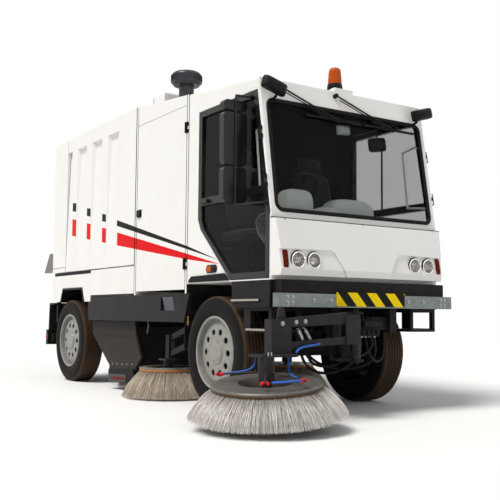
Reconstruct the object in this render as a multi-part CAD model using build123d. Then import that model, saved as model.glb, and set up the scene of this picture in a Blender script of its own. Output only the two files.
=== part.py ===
from build123d import *
import math
import os

# Compact road sweeper: cab over the front axle, engine module, tipping waste container,
# two side brushes, one cylindrical brush and a front brush on a parallelogram arm.
# Millimetres. The vehicle faces -Y, its right side is -X, the floor is Z = 0
# and the front axle stands at Y = 0.

# Overall body
HALF_WIDTH = 860.0
WALL = 40.0
REAR_END = 3800.0
SHUT_GAP = 6.0
SEAT_GAP = 0.3
RUN_GAP = 0.05

# Wheels and axles
WHEELBASE = 3255.0
TYRE_RADIUS = 460.0
TYRE_WIDTH = 250.0
TYRE_INSET = 14.0
TYRE_OUTER_X = HALF_WIDTH - TYRE_INSET
BEAD_RADIUS = 285.0
RIM_FLANGE_RADIUS = 298.0
RIM_WIDTH = 218.0
RIM_WALL = 9.0
RIM_DISC = 12.0
HAND_HOLE_COUNT = 10
HAND_HOLE_RADIUS = 27.0
HAND_HOLE_CIRCLE = 172.0
HUB_RADIUS = 96.0
SPINDLE_RADIUS = 35.0
KINGPIN_INSET = 246.0
KINGPIN_X = TYRE_OUTER_X - KINGPIN_INSET
KINGPIN_RADIUS = 20.0
KINGPIN_BOSS_RADIUS = 40.0
KINGPIN_BOSS_HEIGHT = 100.0
KNUCKLE_EAR = 30.0
AXLE_BEAM_DEPTH = 90.0
AXLE_BEAM_HEIGHT = 80.0
AXLE_TUBE_RADIUS = 62.0
DIFFERENTIAL_RADIUS = 150.0
SPRING_LENGTH = 860.0
SPRING_WIDTH = 64.0
SPRING_THICKNESS = 34.0

# Chassis
RAIL_X = 290.0
RAIL_WIDTH = 70.0
RAIL_BOTTOM = 640.0
RAIL_TOP = 780.0
RAIL_FRONT = -880.0
RAIL_REAR = 3740.0
OUTRIGGER_TOP = 950.0
OUTRIGGER_DEPTH = 50.0
OUTRIGGER_PLACES = (455.0, 1475.0, 1560.0, 2640.0)
CROSS_PLACES = (420.0, 1500.0, 2700.0)
PANEL_POST_TOP = 1190.0
PANEL_POST_DEPTH = 40.0
PANEL_POST_PLACES = (1560.0, 2640.0, 3720.0)

# Cab
CAB_REAR = 430.0
CAB_FLOOR = 1030.0
ROOF_FRONT_Y = -655.0
ROOF_FRONT_Z = 2592.0
ROOF_RISE = 0.0965
CAB_SEAM_Y = -830.0
CAB_SEAM_Z = 1500.0
CAB_CORNER_RADIUS = 20.0
DOOR_TOP = 2492.0
DOOR_REAR = 250.0
DOOR_KNEE_Z = 1540.0
DOOR_FRONT_TOP = -640.0
DOOR_FRONT_LOW = -812.0
DOOR_BOTTOM = 1045.0
DOOR_BOTTOM_REAR = -270.0
DOOR_KNEE_REAR = 205.0
DOOR_FRAME = 48.0
DOOR_THICK = 44.0
DOOR_HINGE_HEIGHTS = (2150.0, 1770.0)
HINGE_STANDOFF = 13.0
HINGE_BARREL = 11.0
HINGE_PIN = 6.0
HINGE_HALF = 48.0
HINGE_LEAF = 30.0
PILLAR_LEAF = 16.0
PILLAR_ROOT = 10.0
HINGE_SHEET = 6.0
BELT_Z = 1680.0
BELT_HEIGHT = 64.0
GLASS = 6.0
SCREEN_PILLAR = 60.0
SCREEN_HALF_TOP = HALF_WIDTH - SCREEN_PILLAR
SCREEN_TOP = 2425.0
SCREEN_BOTTOM = 1550.0
SCREEN_RADIUS = 60.0

# Nose, bumper and lamps
NOSE_FRONT_TOP = -872.0
NOSE_FRONT_LOW = -938.0
NOSE_BOTTOM = 1062.0
NOSE_CORNER = 60.0
LAMP_POCKET_DEPTH = 16.0
LAMP_Z = 1178.0
LAMP_INSET = 192.0
LAMP_PITCH = 150.0
LAMP_OUTER_X = HALF_WIDTH - LAMP_INSET
LAMP_INNER_X = LAMP_OUTER_X - LAMP_PITCH
LAMP_RADIUS = 60.0
LAMP_DEPTH = 46.0
INDICATOR_INSET = 79.0
INDICATOR_X = HALF_WIDTH - INDICATOR_INSET
INDICATOR_WIDTH = 44.0
INDICATOR_HEIGHT = 132.0
REPEATER_Y0 = -70.0
REPEATER_Y1 = 106.0
REPEATER_Z0 = 1108.0
REPEATER_Z1 = 1176.0
REPEATER_DEPTH = 9.0
ARCH_STRIP_Y0 = -200.0
ARCH_STRIP_Y1 = 355.0
ARCH_STRIP_Z0 = 1046.0
ARCH_STRIP_Z1 = 1092.0
ARCH_STRIP_DEPTH = 7.0
BUMPER_FRONT = -966.0
BUMPER_DEPTH = 66.0
BUMPER_BOTTOM = 830.0
BUMPER_HEIGHT = 100.0
BUMPER_REACH = 24.0
BUMPER_HALF = HALF_WIDTH + BUMPER_REACH
BUMPER_SHEET = 6.0
HAZARD_HALF = 347.0
HAZARD_HEIGHT = 105.0
HAZARD_SHEET = 6.0

# Engine module
MODULE_FRONT = 436.0
MODULE_REAR = 1495.0
SERVICE_DOOR_FRONT = 472.0
SERVICE_DOOR_REAR = 1460.0
SERVICE_DOOR_BOTTOM = 985.0
SERVICE_DOOR_TOP = 2605.0
SERVICE_HINGE_HEIGHTS = (1205.0, 2405.0)
CATCH_LOW = 1706.0
CATCH_HEIGHT = 62.0
ENGINE_LENGTH = 760.0
ENGINE_WIDTH = 620.0
ENGINE_HEIGHT = 1150.0

# Waste container
BOX_FRONT = 1507.0
BOX_FLOOR = 1250.0
BOX_FLOOR_THICK = 50.0
BOX_TOP = 2806.0
BOX_DOOR_SEAM = 3372.0
FASCIA_BOTTOM = 2652.0
FLUTE_BOTTOM = 1310.0
FLUTE_DEPTH = 38.0
FLUTE_WIDTH = 270.0
FLUTE_PITCH = 432.0
FLUTE_FIRST = 2070.0
FLUTE_COUNT = 4
TIP_Y = 3780.0
TIP_Z = 1215.0
TIP_PIN_RADIUS = 18.0
TIP_EAR_X = 340.0
TIP_EAR = 24.0
GUSSET_REACH_TOP = 130.0
GUSSET_REACH_LOW = 300.0
GUSSET_TOP = 1490.0
GUSSET_LOW = 1262.0
GUSSET_WIDTH = 60.0

# Panels under the container
PANEL_TOP = 1205.0
PANEL_BOTTOM = 900.0
PANEL_STEP_Y = 2600.0
SKIRT_TOP = 950.0
SKIRT_BOTTOM = 700.0
SKIRT_FRONT = 395.0
SKIRT_SHEET = 24.0
ARCH_FRONT_LOW = 2765.0
ARCH_FRONT_TOP = 2835.0
ARCH_REAR_TOP = 3440.0
ARCH_REAR_LOW = 3520.0
ARCH_TOP = 1060.0
FLAP_Y = 545.0
FLAP_KNEE = 639.0
FLAP_LOW = 470.0
FLAP_SHEET = 6.0
FLAP_INSET = 45.0
FLAP_INNER_X = RAIL_X + RAIL_WIDTH / 2 + 10
FLAP_OUTER_X = HALF_WIDTH - FLAP_INSET

# Brushes
SIDE_BRUSH_INSET = 180.0
SIDE_BRUSH_X = HALF_WIDTH - SIDE_BRUSH_INSET
SIDE_BRUSH_Y = 1085.0
SIDE_BRUSH_RADIUS = 440.0
SIDE_PLATE_RADIUS = 275.0
SIDE_PLATE_Z = 262.0
BRISTLE_CLEAR = 12.0
BRUSH_PLATE = 22.0
MAIN_BRUSH_Y = 2110.0
MAIN_BRUSH_RADIUS = 300.0
MAIN_BRUSH_END_GAP = 50.0
CHAMBER_FRONT = 1590.0
CHAMBER_REAR = 2650.0
CHAMBER_INSET = 60.0
CHAMBER_X = HALF_WIDTH - CHAMBER_INSET
CHAMBER_SHEET = 20.0
MAIN_BRUSH_HALF = CHAMBER_X - CHAMBER_SHEET - MAIN_BRUSH_END_GAP
CHAMBER_BOTTOM = 105.0
CHAMBER_TAIL_Y = 2186.0
CHAMBER_TAIL_Z = 239.0
CHAMBER_BACK_Z = 552.0
LINK_LENGTH = 520.0
LINK_DROP = 150.0
LINK_SPACING = 150.0
LINK_INSET = 220.0
LINK_X = HALF_WIDTH - LINK_INSET
LINK_FRONT_Y = 610.0
LINK_FRONT_Z = 690.0

# Front brush arm
POST_X = 270.0
POST_Y = -1100.0
POST_RADIUS = 18.0
POST_SLEEVE = 13.0
HEAD_OUTER_X = 1062.0
HEAD_INNER_X = 892.0
POST_BOTTOM = 430.0
POST_TOP = 800.0
ARM_ROOT_X = 360.0
ARM_ROOT_Z = 752.0
ARM_TIP_X = 990.0
ARM_TIP_Z = 712.0
ARM_SPACING = 160.0
ARM_WIDTH = 50.0
ARM_ROOT_HEIGHT = 84.0
ARM_TIP_HEIGHT = 62.0
PIN_RADIUS = 12.0
HEAD_DROP = 48.0
HEAD_PLATE = 18.0
FRONT_BRUSH_X = 1100.0
FRONT_BRUSH_Y = -1160.0
FRONT_BRUSH_RADIUS = 545.0
FRONT_PLATE_RADIUS = 380.0
FRONT_PLATE_Z = 300.0
FRONT_BRUSH_LOW = 40.0
FRONT_TILT = 6.5
FRONT_TILT_HEADING = 36.0

AXLE_Z = TYRE_RADIUS
WHEEL_INNER_X = TYRE_OUTER_X - TYRE_WIDTH
WHEEL_X = TYRE_OUTER_X - TYRE_WIDTH / 2


# Helpers
def block(x0, x1, y0, y1, z0, z1):
    size = Box(x1 - x0, y1 - y0, z1 - z0)
    return Pos((x0 + x1) / 2, (y0 + y1) / 2, (z0 + z1) / 2) * size


def side_form(points, x0, x1):
    # Outline in (y, z), carried along X.
    wire = Polyline(*[(x0, y, z) for y, z in points], close=True)
    return extrude(make_face(wire), amount=x1 - x0, dir=(1, 0, 0))


def front_form(points, y0, y1):
    # Outline in (x, z), carried along Y.
    wire = Polyline(*[(x, y0, z) for x, z in points], close=True)
    return extrude(make_face(wire), amount=y1 - y0, dir=(0, 1, 0))


def plan_form(points, z0, z1):
    # Outline in (x, y), carried along Z.
    wire = Polyline(*[(x, y, z0) for x, y in points], close=True)
    return extrude(make_face(wire), amount=z1 - z0, dir=(0, 0, 1))


def rod(start, end, radius):
    a = Vector(*start)
    b = Vector(*end)
    base = Plane(origin=a, z_dir=b - a)
    return base * Cylinder(radius, (b - a).length, align=(Align.CENTER, Align.CENTER, Align.MIN))


def tube(start, end, radius, bore):
    return rod(start, end, radius) - rod(start, end, bore)


def other_side(shape):
    return mirror(shape, about=Plane.YZ)


def both_sides(shape):
    return [shape, other_side(shape)]


def join(shapes):
    whole = shapes[0]
    for shape in shapes[1:]:
        whole = whole + shape
    return whole


def save(name, shapes):
    if not isinstance(shapes, (list, tuple)):
        shapes = [shapes]
    solids = []
    for shape in shapes:
        solids.extend(shape.solids())
    body = solids[0] if len(solids) == 1 else Compound(children=solids)
    body.label = name
    export_step(body, os.path.join("parts", name + ".step"))


def roof_z(y):
    return ROOF_FRONT_Z + ROOF_RISE * (y - ROOF_FRONT_Y)


SCREEN_SLOPE = (ROOF_FRONT_Y - CAB_SEAM_Y) / (ROOF_FRONT_Z - CAB_SEAM_Z)


def screen_y(z):
    return ROOF_FRONT_Y - SCREEN_SLOPE * (ROOF_FRONT_Z - z)


SCREEN_LEAN = math.atan(SCREEN_SLOPE)
SCREEN_OUT = (0, -math.cos(SCREEN_LEAN), math.sin(SCREEN_LEAN))


def screen_plane(z, out=0.0):
    origin = (0, screen_y(z) + out * SCREEN_OUT[1], z + out * SCREEN_OUT[2])
    return Plane(origin=origin, x_dir=(1, 0, 0), z_dir=SCREEN_OUT)


# Wheels: outlines in (radius, distance from the wheel's middle plane, outwards)
def turned(points, side, y):
    wire = Polyline(*[(side * (WHEEL_X + out), 0, r) for r, out in points], close=True)
    ring = revolve(make_face(wire), axis=Axis.X)
    return Pos(0, y, AXLE_Z) * ring


def tyre(side, y):
    half = TYRE_WIDTH / 2
    bead = RIM_WIDTH / 2
    crown = half - 24
    points = [
        (BEAD_RADIUS, bead),
        (RIM_FLANGE_RADIUS + 5, bead),
        (RIM_FLANGE_RADIUS + 18, bead + 9),
        (BEAD_RADIUS + 82, half),
        (TYRE_RADIUS - 56, half - 3),
        (TYRE_RADIUS - 12, half - 14),
        (TYRE_RADIUS, crown - 4),
    ]
    outline = points + [(r, -out) for r, out in reversed(points)]
    return turned(outline, side, y)


def rim(side, y):
    edge = RIM_WIDTH / 2
    seat = BEAD_RADIUS - SEAT_GAP
    barrel = seat - RIM_WALL
    disc_out = edge - 14
    lip = edge + 5
    points = [
        (RIM_FLANGE_RADIUS, edge + SEAT_GAP + 7),
        (RIM_FLANGE_RADIUS - 10, lip + 8),
        (barrel, lip),
        (barrel, disc_out - 26),
        (HAND_HOLE_CIRCLE + HAND_HOLE_RADIUS + 24, disc_out - 8),
        (HAND_HOLE_CIRCLE - HAND_HOLE_RADIUS - 14, disc_out),
        (HUB_RADIUS, disc_out),
        (HUB_RADIUS - 4, disc_out + 8),
        (0, disc_out + 8),
        (0, disc_out - 2),
        (SPINDLE_RADIUS + RUN_GAP, disc_out - 2),
        (SPINDLE_RADIUS + RUN_GAP, disc_out - 90),
        (HUB_RADIUS - 20, disc_out - 90),
        (HUB_RADIUS - 20, disc_out - RIM_DISC),
        (HAND_HOLE_CIRCLE - HAND_HOLE_RADIUS - 14, disc_out - RIM_DISC),
        (HAND_HOLE_CIRCLE + HAND_HOLE_RADIUS + 24, disc_out - 8 - RIM_DISC),
        (barrel, disc_out - 26 - RIM_DISC),
        (barrel, -edge),
        (RIM_FLANGE_RADIUS - 10, -edge - 8),
        (RIM_FLANGE_RADIUS, -edge - 7),
        (RIM_FLANGE_RADIUS, -edge - SEAT_GAP),
        (seat, -edge - SEAT_GAP),
        (seat, edge + SEAT_GAP),
        (RIM_FLANGE_RADIUS, edge + SEAT_GAP),
    ]
    wheel = turned(points, side, y)
    for k in range(HAND_HOLE_COUNT):
        a = math.radians(360.0 / HAND_HOLE_COUNT * (k + 0.5))
        hy = y + HAND_HOLE_CIRCLE * math.sin(a)
        hz = AXLE_Z + HAND_HOLE_CIRCLE * math.cos(a)
        x_in = side * (WHEEL_X + disc_out - 60)
        x_out = side * (WHEEL_X + disc_out + 30)
        wheel = wheel - rod((x_in, hy, hz), (x_out, hy, hz), HAND_HOLE_RADIUS)
    return wheel


SPINDLE_END = WHEEL_X + RIM_WIDTH / 2 - 14 - 4


# Front axle beam with leaf springs, and the steered knuckles
def spring(side, y, seat_z):
    x0 = side * RAIL_X - SPRING_WIDTH / 2
    half = SPRING_LENGTH / 2
    eye_z = RAIL_BOTTOM - 45
    top = [(-half, eye_z), (-half * 0.5, (eye_z + seat_z) / 2 - 4), (0, seat_z + SPRING_THICKNESS)]
    lower = Vector(0, y - half, eye_z - SPRING_THICKNESS / 2)
    middle = Vector(0, y, seat_z + SPRING_THICKNESS / 2)
    upper = Vector(0, y + half, eye_z - SPRING_THICKNESS / 2)
    shift = Vector(x0, 0, 0)
    rise = Vector(0, 0, SPRING_THICKNESS / 2)
    under = ThreePointArc(lower - rise + shift, middle - rise + shift, upper - rise + shift)
    over = ThreePointArc(upper + rise + shift, middle + rise + shift, lower + rise + shift)
    front = Line(lower + rise + shift, lower - rise + shift)
    back = Line(upper - rise + shift, upper + rise + shift)
    leaves = extrude(make_face([under, back, over, front]), amount=SPRING_WIDTH, dir=(1, 0, 0))
    hangers = []
    for end in (y - half, y + half - 44):
        hangers.append(block(x0, x0 + SPRING_WIDTH, end, end + 44, eye_z - 20, RAIL_BOTTOM))
    return join([leaves] + hangers)


def front_axle():
    top = AXLE_Z + AXLE_BEAM_HEIGHT / 2
    inner = KINGPIN_X - KINGPIN_BOSS_RADIUS + 12
    beam = block(-inner, inner, -AXLE_BEAM_DEPTH / 2, AXLE_BEAM_DEPTH / 2,
                 AXLE_Z - AXLE_BEAM_HEIGHT / 2, top)
    groove = AXLE_BEAM_DEPTH / 2 - 12
    for y0, y1 in ((-AXLE_BEAM_DEPTH / 2, -groove + 12), (groove - 12, AXLE_BEAM_DEPTH / 2)):
        beam = beam - block(-inner + 60, inner - 60, y0, y1, AXLE_Z - 22, AXLE_Z + 22)
    shape = beam
    for side in (-1, 1):
        low = (side * KINGPIN_X, 0, AXLE_Z - KINGPIN_BOSS_HEIGHT / 2)
        high = (side * KINGPIN_X, 0, AXLE_Z + KINGPIN_BOSS_HEIGHT / 2)
        shape = shape + rod(low, high, KINGPIN_BOSS_RADIUS)
        shape = shape - rod(low, high, KINGPIN_RADIUS + RUN_GAP)
        shape = shape + spring(side, 0, top)
    return shape


def knuckle(side):
    half = KINGPIN_BOSS_HEIGHT / 2
    x = side * KINGPIN_X
    shape = rod((x, 0, AXLE_Z - half - KNUCKLE_EAR), (x, 0, AXLE_Z + half + KNUCKLE_EAR), KINGPIN_RADIUS)
    for z0 in (AXLE_Z - half - KNUCKLE_EAR, AXLE_Z + half + SEAT_GAP):
        ear = rod((x, 0, z0), (x, 0, z0 + KNUCKLE_EAR - SEAT_GAP), KINGPIN_BOSS_RADIUS)
        x_end = side * (KINGPIN_X + 78)
        web = block(min(x, x_end), max(x, x_end), -KINGPIN_BOSS_RADIUS, KINGPIN_BOSS_RADIUS,
                    z0, z0 + KNUCKLE_EAR - SEAT_GAP)
        shape = shape + ear + web
    x_in = side * (KINGPIN_X + KINGPIN_BOSS_RADIUS + 8)
    x_out = side * (KINGPIN_X + 78)
    back = block(min(x_in, x_out), max(x_in, x_out), -KINGPIN_BOSS_RADIUS, KINGPIN_BOSS_RADIUS,
                 AXLE_Z - half - KNUCKLE_EAR, AXLE_Z + half + KNUCKLE_EAR - SEAT_GAP)
    spindle = rod((x_out, 0, AXLE_Z), (side * SPINDLE_END, 0, AXLE_Z), SPINDLE_RADIUS)
    shape = shape + back + spindle
    arm = block(min(x_in, x_out), max(x_in, x_out), KINGPIN_BOSS_RADIUS - 4, 150,
                AXLE_Z - half - KNUCKLE_EAR, AXLE_Z - half - 4)
    return shape + arm


def rear_axle():
    y = WHEELBASE
    housing = rod((-WHEEL_INNER_X + 30, y, AXLE_Z), (WHEEL_INNER_X - 30, y, AXLE_Z), AXLE_TUBE_RADIUS)
    housing = housing + Pos(0, y, AXLE_Z) * Sphere(DIFFERENTIAL_RADIUS)
    nose = rod((0, y - DIFFERENTIAL_RADIUS - 70, AXLE_Z + 10), (0, y - 60, AXLE_Z + 10), 62)
    housing = housing + nose
    for side in (-1, 1):
        inner = side * (WHEEL_INNER_X - 60)
        outer = side * (WHEEL_INNER_X - 10)
        housing = housing + rod((inner, y, AXLE_Z), (outer, y, AXLE_Z), AXLE_TUBE_RADIUS + 40)
        housing = housing + rod((outer, y, AXLE_Z), (side * SPINDLE_END, y, AXLE_Z), SPINDLE_RADIUS)
        housing = housing + spring(side, y, AXLE_Z + AXLE_TUBE_RADIUS - 8)
    return housing


# Chassis: two rails, cross-members, outriggers, container rests and the tipping ears
def chassis():
    parts = []
    for side in (-1, 1):
        x = side * RAIL_X
        x0 = x - RAIL_WIDTH / 2
        x1 = x + RAIL_WIDTH / 2
        rail = block(x0, x1, RAIL_FRONT, RAIL_REAR, RAIL_BOTTOM, RAIL_TOP)
        web = 10.0
        hollow_x0 = x0 if side < 0 else x0 + web
        hollow_x1 = x1 - web if side < 0 else x1
        parts.append(rail - block(hollow_x0, hollow_x1, RAIL_FRONT + 60, RAIL_REAR - 60,
                                  RAIL_BOTTOM + web, RAIL_TOP - web))
        bracket = block(x0, x1, RAIL_FRONT - 20, RAIL_FRONT + 24, RAIL_BOTTOM, BUMPER_BOTTOM + BUMPER_HEIGHT)
        parts.append(bracket)
        rest_y = OUTRIGGER_PLACES[2] - OUTRIGGER_DEPTH / 2
        for y0 in (rest_y, OUTRIGGER_PLACES[3] - OUTRIGGER_DEPTH / 2):
            parts.append(block(x0, x1, y0, y0 + OUTRIGGER_DEPTH, RAIL_TOP, BOX_FLOOR - SEAT_GAP))
        ear_x0 = side * (TIP_EAR_X - TIP_EAR) if side > 0 else -(TIP_EAR_X)
        ear = side_form(
            [(RAIL_REAR - 260, RAIL_TOP - 20), (RAIL_REAR, RAIL_TOP - 20), (TIP_Y, TIP_Z - 130),
             (TIP_Y + 30, TIP_Z), (TIP_Y, TIP_Z + 30), (TIP_Y - 30, TIP_Z + 20), (RAIL_REAR - 190, RAIL_TOP + 40)],
            ear_x0, ear_x0 + TIP_EAR)
        bore = rod((ear_x0 - 10, TIP_Y, TIP_Z), (ear_x0 + TIP_EAR + 10, TIP_Y, TIP_Z), TIP_PIN_RADIUS + RUN_GAP)
        parts.append(block(x0, x1, RAIL_REAR - 260, RAIL_REAR, RAIL_TOP - 20, RAIL_TOP))
        parts.append(ear - bore)
    for y in (RAIL_FRONT + 60, *CROSS_PLACES, RAIL_REAR - 60):
        parts.append(block(-RAIL_X, RAIL_X, y - 40, y + 40, RAIL_BOTTOM + 20, RAIL_TOP - 20))
    for y in OUTRIGGER_PLACES:
        reach = HALF_WIDTH - WALL - SEAT_GAP
        parts.append(block(-reach, reach, y - OUTRIGGER_DEPTH / 2, y + OUTRIGGER_DEPTH / 2, RAIL_TOP, OUTRIGGER_TOP))
    rear_y = RAIL_REAR - 40
    parts.append(block(-HALF_WIDTH + WALL + SEAT_GAP, HALF_WIDTH - WALL - SEAT_GAP, rear_y, RAIL_REAR,
                       RAIL_BOTTOM + 20, RAIL_TOP + 60))
    for side in (-1, 1):
        for y in PANEL_POST_PLACES:
            x_a = side * (HALF_WIDTH - WALL - SEAT_GAP)
            x_b = x_a - side * PANEL_POST_DEPTH
            low = OUTRIGGER_TOP if y < RAIL_REAR - 100 else RAIL_TOP + 60
            parts.append(block(min(x_a, x_b), max(x_a, x_b), y - 20, y + 20, low, PANEL_POST_TOP))
    return join(parts)


# Bracket that carries the front brush arm's post, bolted under the chassis nose
def arm_bracket():
    x0 = -POST_X - 60
    x1 = -POST_X + 60
    y_back = RAIL_FRONT + 20
    plates = []
    for z0, z1 in ((POST_BOTTOM, POST_BOTTOM + 20), (POST_TOP - 20, POST_TOP)):
        tongue = plan_form(
            [(x0, y_back), (x1, y_back), (x1, POST_Y + 20), (-POST_X + 34, POST_Y - 44),
             (-POST_X - 34, POST_Y - 44), (x0, POST_Y + 20)], z0, z1)
        plates.append(tongue)
    spine = block(x0, x1, RAIL_FRONT - 22, y_back, POST_BOTTOM, POST_TOP)
    rib = block(-POST_X - 8, -POST_X + 8, -1020.0, RAIL_FRONT, POST_BOTTOM + 20, POST_BOTTOM + 120)
    post = rod((-POST_X, POST_Y, POST_BOTTOM - 16), (-POST_X, POST_Y, POST_TOP + 16), POST_RADIUS)
    return join(plates + [spine, rib, post])


# Hydraulic valves of the front brush, on the foremost cross-member
def valve_block():
    back = RAIL_FRONT + 24
    face = back - 66
    parts = [block(-104, 122, face, back, 610, 742)]
    for x in (-72, -24, 24, 72):
        parts.append(rod((x, face + 2, 640), (x, face - 44, 640), 15))
        parts.append(rod((x, back - 30, 740), (x, back - 30, 768), 10))
    parts.append(rod((-66, face - 26, 706), (112, face - 26, 706), 25))
    parts.append(block(-20, 60, face - 30, face + 4, 690, 722))
    return join(parts)


# Cab shell: outer side outline, hollowed, with door, windscreen and rear window openings
def cab_outline(inset):
    return [
        (ROOF_FRONT_Y + inset, ROOF_FRONT_Z - inset),
        (CAB_REAR - inset, roof_z(CAB_REAR) - inset),
        (CAB_REAR - inset, CAB_FLOOR + inset),
        (CAB_SEAM_Y + inset, CAB_FLOOR + inset),
        (CAB_SEAM_Y + inset, CAB_SEAM_Z),
    ]


def door_outline(grow):
    return [
        (DOOR_FRONT_TOP - grow, DOOR_TOP + grow),
        (DOOR_REAR + grow, DOOR_TOP + grow),
        (DOOR_REAR + grow, DOOR_KNEE_Z + 30),
        (DOOR_KNEE_REAR + grow, DOOR_KNEE_Z - 60),
        (DOOR_BOTTOM_REAR + grow, DOOR_BOTTOM - grow),
        (DOOR_FRONT_LOW - grow, DOOR_BOTTOM - grow),
        (DOOR_FRONT_LOW - grow, DOOR_KNEE_Z),
    ]


# Hinges: local frame with Z along the pin, X towards the leaf, skins on the -Y side
def hinge_fixed(frame, leaf=HINGE_LEAF, root=0.0):
    h = HINGE_HALF
    third = h / 3
    parts = [Cylinder(HINGE_PIN, 2 * h)]
    for z0, z1 in ((-h, -third - 0.5), (third + 0.5, h)):
        middle = (z0 + z1) / 2
        parts.append(Pos(0, 0, middle) * Cylinder(HINGE_BARREL, z1 - z0))
        parts.append(block(-leaf, 0, -HINGE_STANDOFF, -HINGE_STANDOFF + HINGE_SHEET, z0, z1))
        if root:
            parts.append(block(-leaf, -SHUT_GAP, -HINGE_STANDOFF - root, -HINGE_STANDOFF + 1, z0, z1))
    return frame * join(parts)


def hinge_moving(frame):
    third = HINGE_HALF / 3
    barrel = Cylinder(HINGE_BARREL, 2 * third)
    plate = block(0, HINGE_LEAF, -HINGE_STANDOFF, -HINGE_STANDOFF + HINGE_SHEET, -third, third)
    return frame * ((barrel + plate) - Cylinder(HINGE_PIN + RUN_GAP, 4 * third))


def door_front_y(z):
    return DOOR_FRONT_TOP - (DOOR_FRONT_TOP - DOOR_FRONT_LOW) * (DOOR_TOP - z) / (DOOR_TOP - DOOR_KNEE_Z)


def cab_hinge_frame(z):
    # Right side; the pin follows the inclined front edge of the door.
    run = DOOR_FRONT_TOP - DOOR_FRONT_LOW
    rise = DOOR_TOP - DOOR_KNEE_Z
    size = math.hypot(run, rise)
    axis = (0, run / size, rise / size)
    origin = (-HALF_WIDTH - HINGE_STANDOFF, door_front_y(z) - SHUT_GAP / 2, z)
    return Plane(origin=origin, x_dir=(0, rise / size, -run / size), z_dir=axis)


def cab_shell():
    shell = side_form(cab_outline(0), -HALF_WIDTH, HALF_WIDTH)
    uprights = shell.edges().filter_by_position(Axis.X, -HALF_WIDTH - 1, -HALF_WIDTH + 1)
    uprights = uprights + shell.edges().filter_by_position(Axis.X, HALF_WIDTH - 1, HALF_WIDTH + 1)
    soft = [e for e in uprights if e.center().Y < ROOF_FRONT_Y + 1 or e.center().Z > ROOF_FRONT_Z]
    shell = fillet(soft, CAB_CORNER_RADIUS)
    inside = side_form(cab_outline(WALL), -HALF_WIDTH + WALL, HALF_WIDTH - WALL)
    shell = shell - inside
    for side in (-1, 1):
        x0 = side * HALF_WIDTH - 60
        shell = shell - side_form(door_outline(SHUT_GAP), x0, x0 + 120)
    frame = screen_plane(SCREEN_BOTTOM)
    height = (SCREEN_TOP - SCREEN_BOTTOM) / math.cos(SCREEN_LEAN)
    hole = Pos(0, height / 2) * RectangleRounded(2 * SCREEN_HALF_TOP, height, SCREEN_RADIUS)
    shell = shell - extrude(frame.offset(-80) * hole, amount=120)
    for z in DOOR_HINGE_HEIGHTS:
        fixed = hinge_fixed(cab_hinge_frame(z), PILLAR_LEAF, PILLAR_ROOT)
        shell = shell + fixed + other_side(fixed)
    return shell


def windscreen():
    frame = screen_plane(SCREEN_BOTTOM, -PANE_SINK)
    height = (SCREEN_TOP - SCREEN_BOTTOM) / math.cos(SCREEN_LEAN)
    pane = Pos(0, height / 2) * RectangleRounded(2 * SCREEN_HALF_TOP, height, SCREEN_RADIUS)
    return extrude(frame * pane, amount=GLASS)


def cab_door(side):
    x_out = side * HALF_WIDTH
    x_in = side * (HALF_WIDTH - DOOR_THICK)
    x0 = min(x_out, x_in)
    leaf = side_form(door_outline(0), x0, x0 + DOOR_THICK)
    for pane in door_panes():
        leaf = leaf - side_form(pane, x0 - 1, x0 + DOOR_THICK + 1)
    handle = block(min(x_out, x_out + side * 26), max(x_out, x_out + side * 26), DOOR_KNEE_REAR - 130,
                   DOOR_KNEE_REAR - 10, BELT_Z + 18, BELT_Z + 46)
    parts = [leaf, handle, grab_rail(side)]
    for z in DOOR_HINGE_HEIGHTS:
        moving = hinge_moving(cab_hinge_frame(z))
        parts.append(moving if side < 0 else other_side(moving))
    if side < 0:
        parts.append(mirrors(side))
    return join(parts)


GRAB_TOP = 2235.0
GRAB_LOW = 1690.0
GRAB_TUBE = 9.0


def grab_rail(side):
    # C-shaped rail inside the door, its ends on the inclined front frame.
    x_face = side * (HALF_WIDTH - DOOR_THICK)
    x_in = x_face - side * 40
    high = door_front_y(GRAB_TOP) + DOOR_FRAME / 2
    low = door_front_y(GRAB_LOW) + DOOR_FRAME / 2
    points = [(x_face, high, GRAB_TOP), (x_in, high, GRAB_TOP), (x_in, high + 150, GRAB_TOP - 30),
              (x_in, low + 190, GRAB_LOW + 20), (x_in, low, GRAB_LOW), (x_face, low, GRAB_LOW)]
    parts = []
    for start, end in zip(points, points[1:]):
        parts.append(rod(start, end, GRAB_TUBE))
    for point in points[1:-1]:
        parts.append(Pos(*point) * Sphere(GRAB_TUBE))
    return join(parts)


def door_panes():
    f = DOOR_FRAME
    slope = (DOOR_FRONT_TOP - DOOR_FRONT_LOW) / (DOOR_TOP - DOOR_KNEE_Z)
    high = DOOR_TOP - f
    belt_top = BELT_Z + BELT_HEIGHT
    upper = [
        (DOOR_FRONT_TOP - slope * f + f, high),
        (DOOR_REAR - f, high),
        (DOOR_REAR - f, belt_top),
        (DOOR_FRONT_LOW + slope * (belt_top - DOOR_KNEE_Z) + f, belt_top),
    ]
    lean = (DOOR_KNEE_REAR - DOOR_BOTTOM_REAR) / (DOOR_KNEE_Z - 60 - DOOR_BOTTOM)
    low = DOOR_BOTTOM + f
    lower = [
        (DOOR_FRONT_LOW + slope * (BELT_Z - DOOR_KNEE_Z) + f, BELT_Z),
        (DOOR_REAR - f, BELT_Z),
        (DOOR_REAR - f - 8, DOOR_KNEE_Z + 20),
        (DOOR_KNEE_REAR - f - 4, DOOR_KNEE_Z - 60),
        (DOOR_BOTTOM_REAR + lean * f - 62, low),
        (DOOR_FRONT_LOW + f, low),
        (DOOR_FRONT_LOW + f, DOOR_KNEE_Z),
    ]
    return [upper, lower]


def door_glass(side):
    middle = side * (HALF_WIDTH - DOOR_THICK / 2)
    panes = []
    for pane in door_panes():
        panes.append(side_form(pane, middle - GLASS / 2, middle + GLASS / 2))
    return panes


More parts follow.
